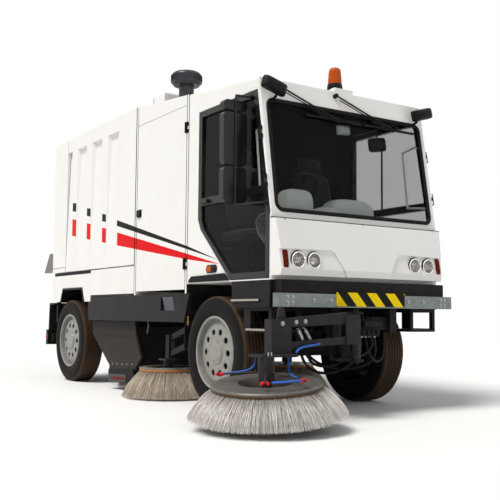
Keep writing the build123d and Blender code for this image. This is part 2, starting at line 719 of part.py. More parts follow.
# Mirrors: a tube with three heads, held at the top and at the front of the door frame
MIRROR_REACH = 125.0
MIRROR_X = HALF_WIDTH + MIRROR_REACH
MIRROR_Y = -500.0
MIRROR_WIDTH = 210.0
MIRROR_THICK = 62.0
MIRROR_HEADS = ((2335.0, 2412.0), (1908.0, 2318.0), (1618.0, 1892.0))
MIRROR_TUBE = 9.0
MIRROR_TOP = 2450.0
MIRROR_LOW = 1600.0


def mirrors(side):
    x = side * MIRROR_X
    tube_y = MIRROR_Y - MIRROR_THICK / 2 - MIRROR_TUBE + 4
    parts = [rod((x, tube_y, MIRROR_LOW), (x, tube_y, MIRROR_TOP), MIRROR_TUBE)]
    for z0, z1 in MIRROR_HEADS:
        head = block(x - MIRROR_WIDTH / 2, x + MIRROR_WIDTH / 2, MIRROR_Y - MIRROR_THICK / 2,
                     MIRROR_Y + MIRROR_THICK / 2, z0, z1)
        radius = min(34.0, (z1 - z0) / 2 - 2)
        parts.append(fillet(head.edges().filter_by(Axis.Y), radius))
    wall = side * HALF_WIDTH
    for z, foot_y in ((MIRROR_TOP, -560.0), (MIRROR_LOW, -775.0)):
        foot_z = z if z > 2000 else z + 10
        parts.append(rod((wall, foot_y, foot_z), (x, tube_y, z), MIRROR_TUBE))
        parts.append(rod((wall, foot_y, foot_z), (wall + side * 16, foot_y, foot_z), 20))
    return join(parts)


# Nose panel with lamp pockets and a bevelled corner each side
def nose_panel():
    profile = [
        (CAB_SEAM_Y - SEAT_GAP, CAB_SEAM_Z - 4),
        (NOSE_FRONT_TOP, CAB_SEAM_Z - 10),
        (NOSE_FRONT_LOW, NOSE_BOTTOM + 50),
        (NOSE_FRONT_LOW + 14, NOSE_BOTTOM),
        (CAB_SEAM_Y - SEAT_GAP, NOSE_BOTTOM),
    ]
    nose = side_form(profile, -HALF_WIDTH, HALF_WIDTH)
    pocket_out = INDICATOR_X + INDICATOR_WIDTH / 2 + 32
    pocket_in = LAMP_INNER_X - 166
    for side in (-1, 1):
        corner = [
            (side * (HALF_WIDTH + 1), CAB_SEAM_Y - 14),
            (side * (HALF_WIDTH + 1), NOSE_FRONT_LOW - 20),
            (side * (HALF_WIDTH - NOSE_CORNER), NOSE_FRONT_LOW - 20),
        ]
        nose = nose - plan_form(corner, NOSE_BOTTOM - 5, CAB_SEAM_Z + 5)
        pocket = front_form(
            [(side * pocket_out, NOSE_BOTTOM - 5), (side * pocket_out, 1256.0), (side * pocket_in, 1262.0),
             (side * (pocket_in - 32), 1246.0), (side * (pocket_in - 147), NOSE_BOTTOM - 5)], -1000.0, -800.0)
        face = side_form(
            [(NOSE_FRONT_TOP - 60, CAB_SEAM_Z - 10), (NOSE_FRONT_TOP + LAMP_POCKET_DEPTH, CAB_SEAM_Z - 10),
             (NOSE_FRONT_LOW + LAMP_POCKET_DEPTH, NOSE_BOTTOM + 50),
             (NOSE_FRONT_LOW + LAMP_POCKET_DEPTH + 14, NOSE_BOTTOM - 6), (NOSE_FRONT_LOW - 60, NOSE_BOTTOM - 6)],
            -HALF_WIDTH, HALF_WIDTH)
        nose = nose - (pocket & face)
        for x in (LAMP_INNER_X, LAMP_OUTER_X):
            nose = nose - rod((side * x, -1000, LAMP_Z), (side * x, lamp_back(), LAMP_Z), LAMP_RADIUS + 4)
    return nose


def nose_face_y(z):
    share = (z - NOSE_BOTTOM - 50) / (CAB_SEAM_Z - 10 - NOSE_BOTTOM - 50)
    return NOSE_FRONT_LOW + share * (NOSE_FRONT_TOP - NOSE_FRONT_LOW) + LAMP_POCKET_DEPTH


def lamp_back():
    return nose_face_y(LAMP_Z) + LAMP_DEPTH


def front_lamps():
    parts = []
    for side in (-1, 1):
        for x in (LAMP_INNER_X, LAMP_OUTER_X):
            back = lamp_back() - SEAT_GAP
            front = nose_face_y(LAMP_Z) - 8
            lamp = rod((side * x, back, LAMP_Z), (side * x, front, LAMP_Z), LAMP_RADIUS)
            parts.append(fillet(lamp.edges().group_by(Axis.Y)[0], 8))
        x0 = side * INDICATOR_X - INDICATOR_WIDTH / 2
        z0 = LAMP_Z + 6 - INDICATOR_HEIGHT / 2
        face = nose_face_y(z0) - SEAT_GAP
        top = nose_face_y(z0 + INDICATOR_HEIGHT) - SEAT_GAP
        lens = side_form([(face, z0), (face - 14, z0), (top - 14, z0 + INDICATOR_HEIGHT), (top, z0 + INDICATOR_HEIGHT)],
                         x0, x0 + INDICATOR_WIDTH)
        parts.append(lens)
        x_a = side * HALF_WIDTH
        x_b = side * (HALF_WIDTH + REPEATER_DEPTH)
        repeater = block(min(x_a, x_b), max(x_a, x_b), REPEATER_Y0, REPEATER_Y1, REPEATER_Z0, REPEATER_Z1)
        parts.append(repeater)
    return parts


def front_bumper():
    y0 = BUMPER_FRONT
    y1 = BUMPER_FRONT + BUMPER_DEPTH
    z0 = BUMPER_BOTTOM
    z1 = z0 + BUMPER_HEIGHT
    bar = block(-BUMPER_HALF, BUMPER_HALF, y0, y1, z0, z1)
    s = BUMPER_SHEET
    hollow = block(-BUMPER_HALF + s, BUMPER_HALF - s, y0 + s, y1 + 1, z0 + s, z1 - s)
    feet = []
    for side in (-1, 1):
        x = side * RAIL_X
        feet.append(block(x - 28, x + 28, y0 + s, y1, z0 + s, z1 - s))
    return join([bar - hollow] + feet)


def hazard_plate():
    y1 = BUMPER_FRONT
    z0 = BUMPER_BOTTOM + 10
    return block(-HAZARD_HALF, HAZARD_HALF, y1 - HAZARD_SHEET, y1, z0, z0 + HAZARD_HEIGHT)


# Dark underframe of the cab: front beam, bearers, side aprons and the hanging steps
STEP_FRONT = -820.0
STEP_REAR_OUT = -448.0
STEP_REAR_IN = -505.0
STEP_WIDTH = 280.0
STEP_INSET = 20.0
STEP_OUTER_X = HALF_WIDTH - STEP_INSET
STEP_INNER_X = STEP_OUTER_X - STEP_WIDTH
STEP_LOW = 640.0
STEP_TREAD = 22.0
STEP_ROOM_TOP = 800.0
STEP_POST = 30.0


def cab_underframe():
    beam_y0 = CAB_SEAM_Y - 96
    beam = block(-HALF_WIDTH + 30, HALF_WIDTH - 30, beam_y0, CAB_SEAM_Y, BUMPER_BOTTOM + BUMPER_HEIGHT, CAB_FLOOR)
    parts = [beam]
    loose = []
    for side in (-1, 1):
        x = side * RAIL_X
        parts.append(block(x - 34, x + 34, CAB_SEAM_Y, CAB_REAR - 10, RAIL_TOP, CAB_FLOOR))
        x_out = side * HALF_WIDTH
        x_in = side * (HALF_WIDTH - 26)
        apron = side_form(
            [(-300, CAB_FLOOR), (-300, 930), (-340, 826), (STEP_FRONT, 826), (CAB_SEAM_Y, 900),
             (CAB_SEAM_Y, CAB_FLOOR)], min(x_out, x_in), max(x_out, x_in))
        parts.append(apron)
        parts.append(block(min(x, x_in), max(x, x_in), CAB_SEAM_Y, CAB_SEAM_Y + 60, 930, CAB_FLOOR))
        tread_out = side * (HALF_WIDTH + 12)
        parts.append(block(min(x_in, tread_out), max(x_in, tread_out), -700, -312, 872, 886))
        plan = [(side * STEP_OUTER_X, STEP_FRONT), (side * STEP_OUTER_X, STEP_REAR_OUT),
                (side * STEP_INNER_X, STEP_REAR_IN), (side * STEP_INNER_X, STEP_FRONT)]
        parts.append(plan_form(plan, STEP_ROOM_TOP, 930))
        loose.append(plan_form(plan, STEP_LOW, STEP_LOW + STEP_TREAD))
        uprights = plan_form(plan, STEP_LOW + STEP_TREAD, STEP_ROOM_TOP)
        for x0 in (STEP_INNER_X, STEP_OUTER_X - STEP_POST):
            for y0, y1 in ((STEP_FRONT, STEP_FRONT + 36), (-540, -400)):
                x1 = x0 + STEP_POST
                corner = block(min(side * x0, side * x1), max(side * x0, side * x1), y0, y1, STEP_LOW, STEP_ROOM_TOP)
                loose.append(uprights & corner)
        parts.append(block(min(side * STEP_INNER_X, x_in), max(side * STEP_INNER_X, x_in), STEP_FRONT, -540,
                           900, 930))
        x_strip = side * (HALF_WIDTH + ARCH_STRIP_DEPTH)
        loose.append(block(min(x_out, x_strip), max(x_out, x_strip), ARCH_STRIP_Y0, ARCH_STRIP_Y1,
                            ARCH_STRIP_Z0, ARCH_STRIP_Z1))
    return [join(parts)] + loose


# Roof and trim pieces of the cab
def roof_beacon():
    base_z = roof_z(-520)
    foot = block(-60, 140, -590, -450, base_z - 10, base_z + 34) - below_roof()
    stem = rod((0, -520, base_z + 20), (0, -520, base_z + 62), 58)
    dome = rod((0, -520, base_z + 62), (0, -520, base_z + 205), 66)
    dome = fillet(dome.edges().group_by(Axis.Z)[-1], 30)
    return foot + stem + dome


def below_roof():
    return side_form([(-900, 2000), (2000, 2000), (2000, roof_z(2000)), (-900, roof_z(-900))],
                     -HALF_WIDTH - 40, HALF_WIDTH + 40)


WORK_LAMP_INSET = 95.0
WORK_LAMP_X = HALF_WIDTH - WORK_LAMP_INSET
WORK_LAMP_Z = 2468.0
WORK_LAMP_OUT = 88.0
WORK_LAMP_DEPTH = 60.0
WORK_LAMP_HEIGHT = 58.0


def work_lamps():
    parts = []
    for side in (-1, 1):
        y = screen_y(WORK_LAMP_Z)
        pod = Pos(side * WORK_LAMP_X, y - WORK_LAMP_OUT, WORK_LAMP_Z) * Box(210, WORK_LAMP_DEPTH, WORK_LAMP_HEIGHT)
        pod = fillet(pod.edges(), 18)
        stalk_x = side * (HALF_WIDTH - 28)
        stalk = rod((stalk_x, y + 12, WORK_LAMP_Z), (stalk_x, y - WORK_LAMP_OUT, WORK_LAMP_Z), 11)
        whole = pod + stalk
        parts.append(whole - side_form(cab_outline(0), -HALF_WIDTH, HALF_WIDTH))
    return parts


INTAKE_INSET = 260.0
INTAKE_X = -HALF_WIDTH + INTAKE_INSET
INTAKE_Y = 970.0
INTAKE_CAP_RADIUS = 146.0
INTAKE_STEM_RADIUS = 72.0


def intake_stack():
    base = roof_z(INTAKE_Y)
    stem = rod((INTAKE_X, INTAKE_Y, base - 40), (INTAKE_X, INTAKE_Y, base + 190), INTAKE_STEM_RADIUS)
    flange = rod((INTAKE_X, INTAKE_Y, base - 40), (INTAKE_X, INTAKE_Y, base + 24), INTAKE_STEM_RADIUS + 30)
    cap = rod((INTAKE_X, INTAKE_Y, base + 190), (INTAKE_X, INTAKE_Y, base + 320), INTAKE_CAP_RADIUS)
    cap = fillet(cap.edges().group_by(Axis.Z)[-1], 46)
    cap = chamfer(cap.edges().group_by(Axis.Z)[0], 26)
    return (stem + flange + cap) - below_roof()


WIPER_INSET = 80.0
WIPER_SPAN = 600.0
WIPER_PIVOTS = (-SCREEN_HALF_TOP + WIPER_INSET, -SCREEN_HALF_TOP + WIPER_INSET + WIPER_SPAN)
WIPER_PIVOT_Z = 2545.0
WIPER_REACH_X = 565.0
WIPER_REACH_DOWN = 208.0
WIPER_BLADE = 560.0
WIPER_BLADE_HEIGHT = 20.0
WIPER_ARM_OUT = 26.0
WIPER_ARM_RADIUS = 7.0
WIPER_CLEAR = 5.2
PANE_SINK = 16.0


def wiper(pivot_x):
    base = screen_plane(WIPER_PIVOT_Z)
    hub_height = WIPER_ARM_OUT + WIPER_ARM_RADIUS
    hub = Pos(pivot_x, 0, SEAT_GAP) * Cylinder(18, hub_height, align=(Align.CENTER, Align.CENTER, Align.MIN))
    tip = (pivot_x + WIPER_REACH_X, -WIPER_REACH_DOWN)
    low = GLASS - PANE_SINK + WIPER_CLEAR
    arm = rod((pivot_x, 0, WIPER_ARM_OUT), (tip[0], tip[1], WIPER_ARM_OUT), WIPER_ARM_RADIUS)
    blade = Pos(tip[0], tip[1], low + WIPER_BLADE_HEIGHT / 2) * Box(WIPER_BLADE, 14, WIPER_BLADE_HEIGHT)
    hinge = rod((tip[0], tip[1], low + 4), (tip[0], tip[1], WIPER_ARM_OUT), 8)
    return base * (hub + arm + blade + hinge)


# Cab inside: floor-standing dashboard, steering column and two seats
SEAT_INSET = 475.0
WHEEL_INSET = 485.0
WHEEL_CENTRE = (WHEEL_INSET - HALF_WIDTH, -470.0, 1770.0)
POD_HALF = 170.0
STEER_LEAN = 32.0
STEER_RADIUS = 190.0
DASH_INSET = 70.0


def steer_plane():
    a = math.radians(STEER_LEAN)
    return Plane(origin=WHEEL_CENTRE, x_dir=(1, 0, 0), z_dir=(0, math.sin(a), math.cos(a)))


def dashboard():
    front = CAB_SEAM_Y + WALL
    desk = side_form(
        [(front + 1, CAB_FLOOR + WALL), (front + 1, 1490), (front + 24, 1548), (-700, 1556), (-560, 1540),
         (-520, 1490), (-560, 1380), (-660, 1300), (-690, CAB_FLOOR + WALL)],
        -HALF_WIDTH + DASH_INSET, HALF_WIDTH - DASH_INSET)
    pod = side_form([(-715, 1540), (-700, 1632), (-610, 1644), (-548, 1580), (-560, 1490), (-715, 1490)],
                    WHEEL_CENTRE[0] - POD_HALF, WHEEL_CENTRE[0] + POD_HALF)
    hump = side_form([(-715, 1540), (-640, 1690), (-470, 1726), (-420, 1600), (-440, 1490), (-715, 1490)], -142, 483)
    hump = fillet(hump.edges().filter_by(Plane.YZ), 26)
    pod = fillet(pod.edges().filter_by(Plane.YZ), 22)
    frame = steer_plane()
    column = frame * rod((0, 0, -40 - SEAT_GAP), (0, 0, -330), 34)
    return desk + pod + hump + column


def steering_wheel():
    ring = Torus(STEER_RADIUS, 13)
    hub = Pos(0, 0, -40) * Cylinder(44, 52, align=(Align.CENTER, Align.CENTER, Align.MIN))
    parts = [ring, hub]
    for angle in (20, 160, 270):
        a = math.radians(angle)
        end = ((STEER_RADIUS - 4) * math.cos(a), (STEER_RADIUS - 4) * math.sin(a), 0)
        parts.append(rod((0, 0, -10), end, 10))
    return steer_plane() * join(parts)


SEAT_PLACES = (SEAT_INSET - HALF_WIDTH, HALF_WIDTH - SEAT_INSET)


def seats():
    parts = []
    for x in SEAT_PLACES:
        pedestal = block(x - 150, x + 150, -40, 300, CAB_FLOOR + WALL, 1380)
        cushion = block(x - 235, x + 235, -140, 330, 1380, 1510)
        cushion = fillet(cushion.edges(), 30)
        back = side_form([(250, 1470), (330, 2050), (372, 2250), (300, 2256), (240, 2060), (150, 1500)], x - 215, x + 215)
        back = fillet(back.edges().filter_by(Plane.YZ), 24)
        parts.append(pedestal + cushion + back)
    return parts


# Engine module between cab and container
def engine_module():
    outline = [(MODULE_FRONT, OUTRIGGER_TOP), (MODULE_REAR, OUTRIGGER_TOP), (MODULE_REAR, roof_z(MODULE_REAR)),
               (MODULE_FRONT, roof_z(MODULE_FRONT))]
    shell = side_form(outline, -HALF_WIDTH, HALF_WIDTH)
    w = WALL - 8
    inner = [(MODULE_FRONT + w, OUTRIGGER_TOP - 1), (MODULE_REAR - w, OUTRIGGER_TOP - 1),
             (MODULE_REAR - w, roof_z(MODULE_REAR) - WALL), (MODULE_FRONT + w, roof_z(MODULE_FRONT) - WALL)]
    shell = shell - side_form(inner, -HALF_WIDTH + WALL, HALF_WIDTH - WALL)
    g = SHUT_GAP
    cut = [(SERVICE_DOOR_FRONT - g, OUTRIGGER_TOP - 1), (SERVICE_DOOR_REAR + g, OUTRIGGER_TOP - 1),
           (SERVICE_DOOR_REAR + g, SERVICE_DOOR_TOP + g), (SERVICE_DOOR_FRONT - g, SERVICE_DOOR_TOP + g)]
    for side in (-1, 1):
        x0 = side * HALF_WIDTH - 60
        shell = shell - side_form(cut, x0, x0 + 120)
    cowl = block(-700, -500, 1225, 1470, roof_z(1225) - 20, 2930) - below_roof()
    cowl = fillet(cowl.edges().group_by(Axis.Z)[-1], 24)
    for z in SERVICE_HINGE_HEIGHTS:
        fixed = hinge_fixed(service_hinge_frame(z))
        shell = shell + fixed + other_side(fixed)
    return shell + cowl


def service_hinge_frame(z):
    origin = (-HALF_WIDTH - HINGE_STANDOFF, SERVICE_DOOR_FRONT - SHUT_GAP / 2, z)
    return Plane(origin=origin, x_dir=(0, 1, 0), z_dir=(0, 0, 1))


def service_door(side):
    x_out = side * HALF_WIDTH
    x_in = side * (HALF_WIDTH - WALL)
    leaf = block(min(x_out, x_in), max(x_out, x_in), SERVICE_DOOR_FRONT, SERVICE_DOOR_REAR,
                 SERVICE_DOOR_BOTTOM, SERVICE_DOOR_TOP)
    parts = [leaf]
    for z in SERVICE_HINGE_HEIGHTS:
        moving = hinge_moving(service_hinge_frame(z))
        parts.append(moving if side < 0 else other_side(moving))
    x0 = min(x_out, x_out + side * 18)
    parts.append(block(x0, x0 + 18, SERVICE_DOOR_REAR - 96, SERVICE_DOOR_REAR - 20,
                       CATCH_LOW, CATCH_LOW + CATCH_HEIGHT))
    return join(parts)


def engine_block():
    y = (MODULE_FRONT + MODULE_REAR) / 2
    return block(-ENGINE_WIDTH / 2, ENGINE_WIDTH / 2, y - ENGINE_LENGTH / 2, y + ENGINE_LENGTH / 2,
                 RAIL_TOP, RAIL_TOP + ENGINE_HEIGHT)


# Waste container: fluted side walls under a fascia, open at the rear for its door
def flute(side, y):
    x_face = side * (HALF_WIDTH + 1)
    x_deep = side * (HALF_WIDTH - FLUTE_DEPTH)
    wedge = front_form([(x_face, FASCIA_BOTTOM), (x_deep, FASCIA_BOTTOM), (x_face, FLUTE_BOTTOM)],
                       y - FLUTE_WIDTH / 2, y + FLUTE_WIDTH / 2)
    half = FLUTE_WIDTH / 2
    plan = plan_form([(x_face, y - half), (side * (HALF_WIDTH - FLUTE_DEPTH - 1), y - half + 30),
                      (side * (HALF_WIDTH - FLUTE_DEPTH - 1), y + half - 30), (x_face, y + half)],
                     FLUTE_BOTTOM - 1, FASCIA_BOTTOM + 1)
    return wedge & plan


def container():
    box = block(-HALF_WIDTH, HALF_WIDTH, BOX_FRONT, BOX_DOOR_SEAM, BOX_FLOOR, BOX_TOP)
    sill = block(-HALF_WIDTH, HALF_WIDTH, BOX_DOOR_SEAM, REAR_END, BOX_FLOOR, BOX_FLOOR + BOX_FLOOR_THICK)
    w = WALL + FLUTE_DEPTH
    inner = block(-HALF_WIDTH + w, HALF_WIDTH - w, BOX_FRONT + WALL, BOX_DOOR_SEAM + 1,
                  BOX_FLOOR + BOX_FLOOR_THICK, BOX_TOP - WALL)
    shape = box + sill - inner
    for side in (-1, 1):
        for k in range(FLUTE_COUNT):
            shape = shape - flute(side, FLUTE_FIRST + k * FLUTE_PITCH)
    for side in (-1, 1):
        x_a = side * (TIP_EAR_X + 4)
        x_b = side * (TIP_EAR_X + 4 + TIP_EAR)
        lug = side_form([(TIP_Y - 60, BOX_FLOOR + 4), (TIP_Y - 34, TIP_Z - 16), (TIP_Y, TIP_Z - 34),
                         (TIP_Y + 20, TIP_Z - 16), (TIP_Y + 20, BOX_FLOOR + 4)], min(x_a, x_b), max(x_a, x_b))
        pin = rod((side * (TIP_EAR_X - TIP_EAR - 14), TIP_Y, TIP_Z), (x_b, TIP_Y, TIP_Z), TIP_PIN_RADIUS)
        shape = shape + lug + pin
    for x0 in (-RAM_EYE_HALF - 20, RAM_EYE_HALF):
        shape = shape + side_form([(RAM_EYE_Y - 50, BOX_FLOOR + 4), (RAM_EYE_Y - 24, RAM_EYE_Z - 26),
                                   (RAM_EYE_Y + 24, RAM_EYE_Z - 26), (RAM_EYE_Y + 50, BOX_FLOOR + 4)], x0, x0 + 20)
    for x in BOX_HINGE_PLACES:
        shape = shape + hinge_fixed(box_hinge_frame(x))
    return shape


BOX_HINGE_PLACES = (-560.0, 0.0, 560.0)


def box_hinge_frame(x):
    origin = (x, BOX_DOOR_SEAM + SHUT_GAP / 2, BOX_TOP + HINGE_STANDOFF)
    return Plane(origin=origin, x_dir=(0, 1, 0), z_dir=(1, 0, 0))


def container_door():
    z0 = BOX_FLOOR + BOX_FLOOR_THICK + SHUT_GAP
    y0 = BOX_DOOR_SEAM + SHUT_GAP
    leaf = block(-HALF_WIDTH, HALF_WIDTH, y0, REAR_END, z0, BOX_TOP)
    inner = block(-HALF_WIDTH + WALL, HALF_WIDTH - WALL, y0 - 1, REAR_END - WALL, z0 - 1, BOX_TOP - WALL)
    leaf = leaf - inner
    for x in BOX_HINGE_PLACES:
        leaf = leaf + hinge_moving(box_hinge_frame(x))
    return join([leaf] + tail_gussets())


def tail_gussets():
    parts = []
    for side in (-1, 1):
        y0 = REAR_END
        x_a = side * (HALF_WIDTH - GUSSET_WIDTH)
        x_b = side * HALF_WIDTH
        low = BOX_FLOOR + BOX_FLOOR_THICK + SHUT_GAP
        profile = [(y0, GUSSET_TOP), (y0 + GUSSET_REACH_TOP, GUSSET_TOP), (y0 + GUSSET_REACH_LOW, GUSSET_LOW),
                   (y0 + SHUT_GAP, GUSSET_LOW), (y0 + SHUT_GAP, low), (y0, low)]
        parts.append(side_form(profile, min(x_a, x_b), max(x_a, x_b)))
    return parts


# Tipping ram: barrel hinged on the chassis, rod under the container floor
RAM_BASE_Y = 2985.0
RAM_BASE_Z = 690.0
RAM_EYE_Y = 3300.0
RAM_EYE_Z = 1200.0
RAM_EYE_HALF = 34.0
RAM_PIN = 11.0
RAM_BASE_HALF = 50.0
RAM_BARREL = 46.0
RAM_ROD = 26.0


def ram_point(share):
    y = RAM_BASE_Y + (RAM_EYE_Y - RAM_BASE_Y) * share
    z = RAM_BASE_Z + (RAM_EYE_Z - RAM_BASE_Z) * share
    return (0, y, z)


def tip_ram_barrel():
    barrel = tube(ram_point(0.07), ram_point(0.84), RAM_BARREL, RAM_ROD + RUN_GAP)
    cap = rod(ram_point(0.02), ram_point(0.08), RAM_BARREL)
    base = ram_point(0)
    reach = RAM_BASE_HALF - 2
    trunnion = rod((-reach, base[1], base[2]), (reach, base[1], base[2]), 30)
    bore = rod((-60, base[1], base[2]), (60, base[1], base[2]), RAM_PIN + RUN_GAP)
    return (barrel + cap + trunnion) - bore


def tip_ram_rod():
    reach = RAM_EYE_HALF - 2
    eye = rod((-reach, RAM_EYE_Y, RAM_EYE_Z), (reach, RAM_EYE_Y, RAM_EYE_Z), 30)
    bore = rod((-60, RAM_EYE_Y, RAM_EYE_Z), (60, RAM_EYE_Y, RAM_EYE_Z), RAM_PIN + RUN_GAP)
    return (rod(ram_point(0.10), ram_point(0.98), RAM_ROD) + eye) - bore


def ram_mount():
    base = ram_point(0)
    beam = block(-RAIL_X + 20, RAIL_X - 20, base[1] - 40, base[1] + 40, RAIL_BOTTOM - 50, base[2] - 38)
    parts = [beam]
    reach = RAM_BASE_HALF + 20
    parts.append(rod((-reach, base[1], base[2]), (reach, base[1], base[2]), RAM_PIN))
    for x0 in (-reach, RAM_BASE_HALF):
        parts.append(side_form([(base[1] - 40, base[2] - 60), (base[1] - 28, base[2] + 28), (base[1] + 28, base[2] + 28),
                                (base[1] + 40, base[2] - 60)], x0, x0 + 20))
    return join(parts)


# White panels and dark skirts along the lower sides
def lower_panels():
    parts = []
    for side in (-1, 1):
        x_a = side * (HALF_WIDTH - WALL)
        x_b = side * HALF_WIDTH
        x0 = min(x_a, x_b)
        x1 = max(x_a, x_b)
        outline = [
            (BOX_FRONT - 2, SKIRT_TOP), (PANEL_STEP_Y, SKIRT_TOP), (PANEL_STEP_Y, PANEL_BOTTOM),
            (ARCH_FRONT_LOW, PANEL_BOTTOM), (ARCH_FRONT_TOP, ARCH_TOP), (ARCH_REAR_TOP, ARCH_TOP),
            (ARCH_REAR_LOW, PANEL_BOTTOM), (REAR_END, PANEL_BOTTOM), (REAR_END, PANEL_TOP),
            (PANEL_STEP_Y, PANEL_TOP), (PANEL_STEP_Y, PANEL_TOP + 30), (BOX_FRONT - 2, PANEL_TOP + 30)]
        panel = side_form(outline, x0, x1)
        parts.append(panel)
    return parts


def side_skirts():
    parts = []
    for side in (-1, 1):
        x_a = side * (HALF_WIDTH - WALL)
        x_b = side * (HALF_WIDTH - 4)
        x0 = min(x_a, x_b)
        x1 = max(x_a, x_b)
        outline = [(SKIRT_FRONT, SKIRT_TOP - 2), (PANEL_STEP_Y - 4, SKIRT_TOP - 2), (PANEL_STEP_Y - 4, PANEL_BOTTOM - 2),
                   (2680, PANEL_BOTTOM - 2), (2640, SKIRT_BOTTOM), (SKIRT_FRONT + 95, SKIRT_BOTTOM)]
        skirt = side_form(outline, x0, x1)
        mouth = side_form([(660, 800), (930, 800), (930, 925), (700, 925)], x_b - 22, x_b + 22)
        parts.append(skirt - mouth)
        parts.append(mudflap(side))
    return parts


def mudflap(side):
    # Hangs under the first outrigger, clear of the steered tyre.
    y0 = OUTRIGGER_PLACES[0] - 9
    y1 = OUTRIGGER_PLACES[0] + 23
    top = RAIL_TOP - SEAT_GAP
    s = FLAP_SHEET
    profile = [(y0, top), (y1, top), (FLAP_Y + s, FLAP_KNEE + 2), (FLAP_Y + s, FLAP_LOW), (FLAP_Y, FLAP_LOW),
               (FLAP_Y, FLAP_KNEE), (y1 - 3, top - s), (y0, top - s)]
    x_a = side * FLAP_INNER_X
    x_b = side * FLAP_OUTER_X
    return side_form(profile, min(x_a, x_b), max(x_a, x_b))


def brush_chamber():
    x = CHAMBER_X
    s = CHAMBER_SHEET
    side_plate = [
        (CHAMBER_FRONT, RAIL_BOTTOM + 55), (CHAMBER_REAR, RAIL_BOTTOM + 55), (CHAMBER_REAR, CHAMBER_BACK_Z),
        (CHAMBER_TAIL_Y, CHAMBER_TAIL_Z), (CHAMBER_TAIL_Y, CHAMBER_BOTTOM), (CHAMBER_FRONT, CHAMBER_BOTTOM + 110), (CHAMBER_FRONT - 150, CHAMBER_BOTTOM + 240),
        (CHAMBER_FRONT - 40, CHAMBER_BOTTOM + 440)]
    parts = []
    for side in (-1, 1):
        x_a = side * x
        x_b = side * (x - s)
        parts.append(side_form(side_plate, min(x_a, x_b), max(x_a, x_b)))
    top_z = RAIL_BOTTOM - 14
    parts.append(block(-x + 2, x - 2, CHAMBER_FRONT + 10, CHAMBER_REAR - 10, top_z, RAIL_BOTTOM))
    parts.append(block(-x + 2, x - 2, CHAMBER_REAR - 24, CHAMBER_REAR - 10, CHAMBER_BACK_Z, RAIL_BOTTOM))
    flap_x = x - s - 2
    flap = block(-flap_x, flap_x, CHAMBER_FRONT + 12, CHAMBER_FRONT + 18, 70, top_z - SEAT_GAP)
    return [join(parts), flap]


def main_brush():
    centre_z = MAIN_BRUSH_RADIUS + BRISTLE_CLEAR
    bristles = rod((-MAIN_BRUSH_HALF, MAIN_BRUSH_Y, centre_z), (MAIN_BRUSH_HALF, MAIN_BRUSH_Y, centre_z), MAIN_BRUSH_RADIUS)
    end = CHAMBER_X - CHAMBER_SHEET - SEAT_GAP
    shaft = rod((-end, MAIN_BRUSH_Y, centre_z), (end, MAIN_BRUSH_Y, centre_z), 45)
    return bristles + shaft


GUARD_FRONT = 3745.0


def rear_guards():
    parts = []
    for side in (-1, 1):
        x_a = side * 560.0
        x_b = side * (HALF_WIDTH - 6)
        sheet = side_form([(GUARD_FRONT, 892), (3900, 892), (3916, 560), (3896, 560), (3880, 868), (GUARD_FRONT, 868)],
                          min(x_a, x_b), max(x_a, x_b))
        hanger = block(min(side * 560, side * 640), max(side * 560, side * 640), RAIL_REAR, 3884, 700, 880)
        parts.append(sheet + hanger)
    bar = block(-HALF_WIDTH + 60, HALF_WIDTH - 60, 3890, 3950, 430, 530)
    legs = []
    for side in (-1, 1):
        legs.append(block(side * RAIL_X - 30, side * RAIL_X + 30, RAIL_REAR, 3950, 640, 740))
        legs.append(block(side * RAIL_X - 30, side * RAIL_X + 30, 3900, 3950, 500, 680))
    return join(parts + [bar] + legs)


def rear_lamps():
    parts = []
    for side in (-1, 1):
        x_a = side * 600.0
        x_b = side * (HALF_WIDTH - 10)
        cluster = block(min(x_a, x_b), max(x_a, x_b), 3950, 4010, 390, 570)
        parts.append(fillet(cluster.edges().filter_by(Axis.X), 12))
    return parts


# Side brushes: trailing parallelogram links, a head with its motor, and the brush
def side_link(side, drop):
    x = side * LINK_X
    front = (LINK_FRONT_Y, LINK_FRONT_Z - drop)
    back = (LINK_FRONT_Y + LINK_LENGTH, LINK_FRONT_Z - drop - LINK_DROP)
    bar = link_bar(front, back, 26, x - 20, x + 20)
    for y, z in (front, back):
        bar = bar - rod((x - 40, y, z), (x + 40, y, z), PIN_RADIUS + RUN_GAP)
    return bar


def link_bar(front, back, half, x0, x1):
    length = math.hypot(back[0] - front[0], back[1] - front[1])
    angle = math.degrees(math.atan2(back[1] - front[1], back[0] - front[0]))
    plan = SlotCenterToCenter(length, 2 * half)
    middle = ((front[0] + back[0]) / 2, (front[1] + back[1]) / 2)
    base = Plane(origin=(x0, middle[0], middle[1]), x_dir=(0, 1, 0), z_dir=(1, 0, 0))
    return extrude(base * Rot(0, 0, angle) * plan, amount=x1 - x0)


def side_head(side):
    x = side * LINK_X
    y = LINK_FRONT_Y + LINK_LENGTH
    z = LINK_FRONT_Z - LINK_DROP
    parts = []
    for dx in (-38, 22):
        parts.append(block(x + dx, x + dx + 16, y - 34, y + 34, z - LINK_SPACING - 34, z + 34))
    for drop in (0, LINK_SPACING):
        parts.append(rod((x - 38, y, z - drop), (x + 38, y, z - drop), PIN_RADIUS))
    bottom = z - LINK_SPACING - 34
    plate_top = SIDE_PLATE_Z + BRUSH_PLATE + 6
    foot = block(min(x - 38, side * SIDE_BRUSH_X - 70), max(x + 38, side * SIDE_BRUSH_X + 70),
                 SIDE_BRUSH_Y - 70, y + 34, bottom - 16, bottom)
    motor = rod((side * SIDE_BRUSH_X, SIDE_BRUSH_Y, plate_top), (side * SIDE_BRUSH_X, SIDE_BRUSH_Y, bottom - 10), 52)
    return join(parts + [foot, motor])


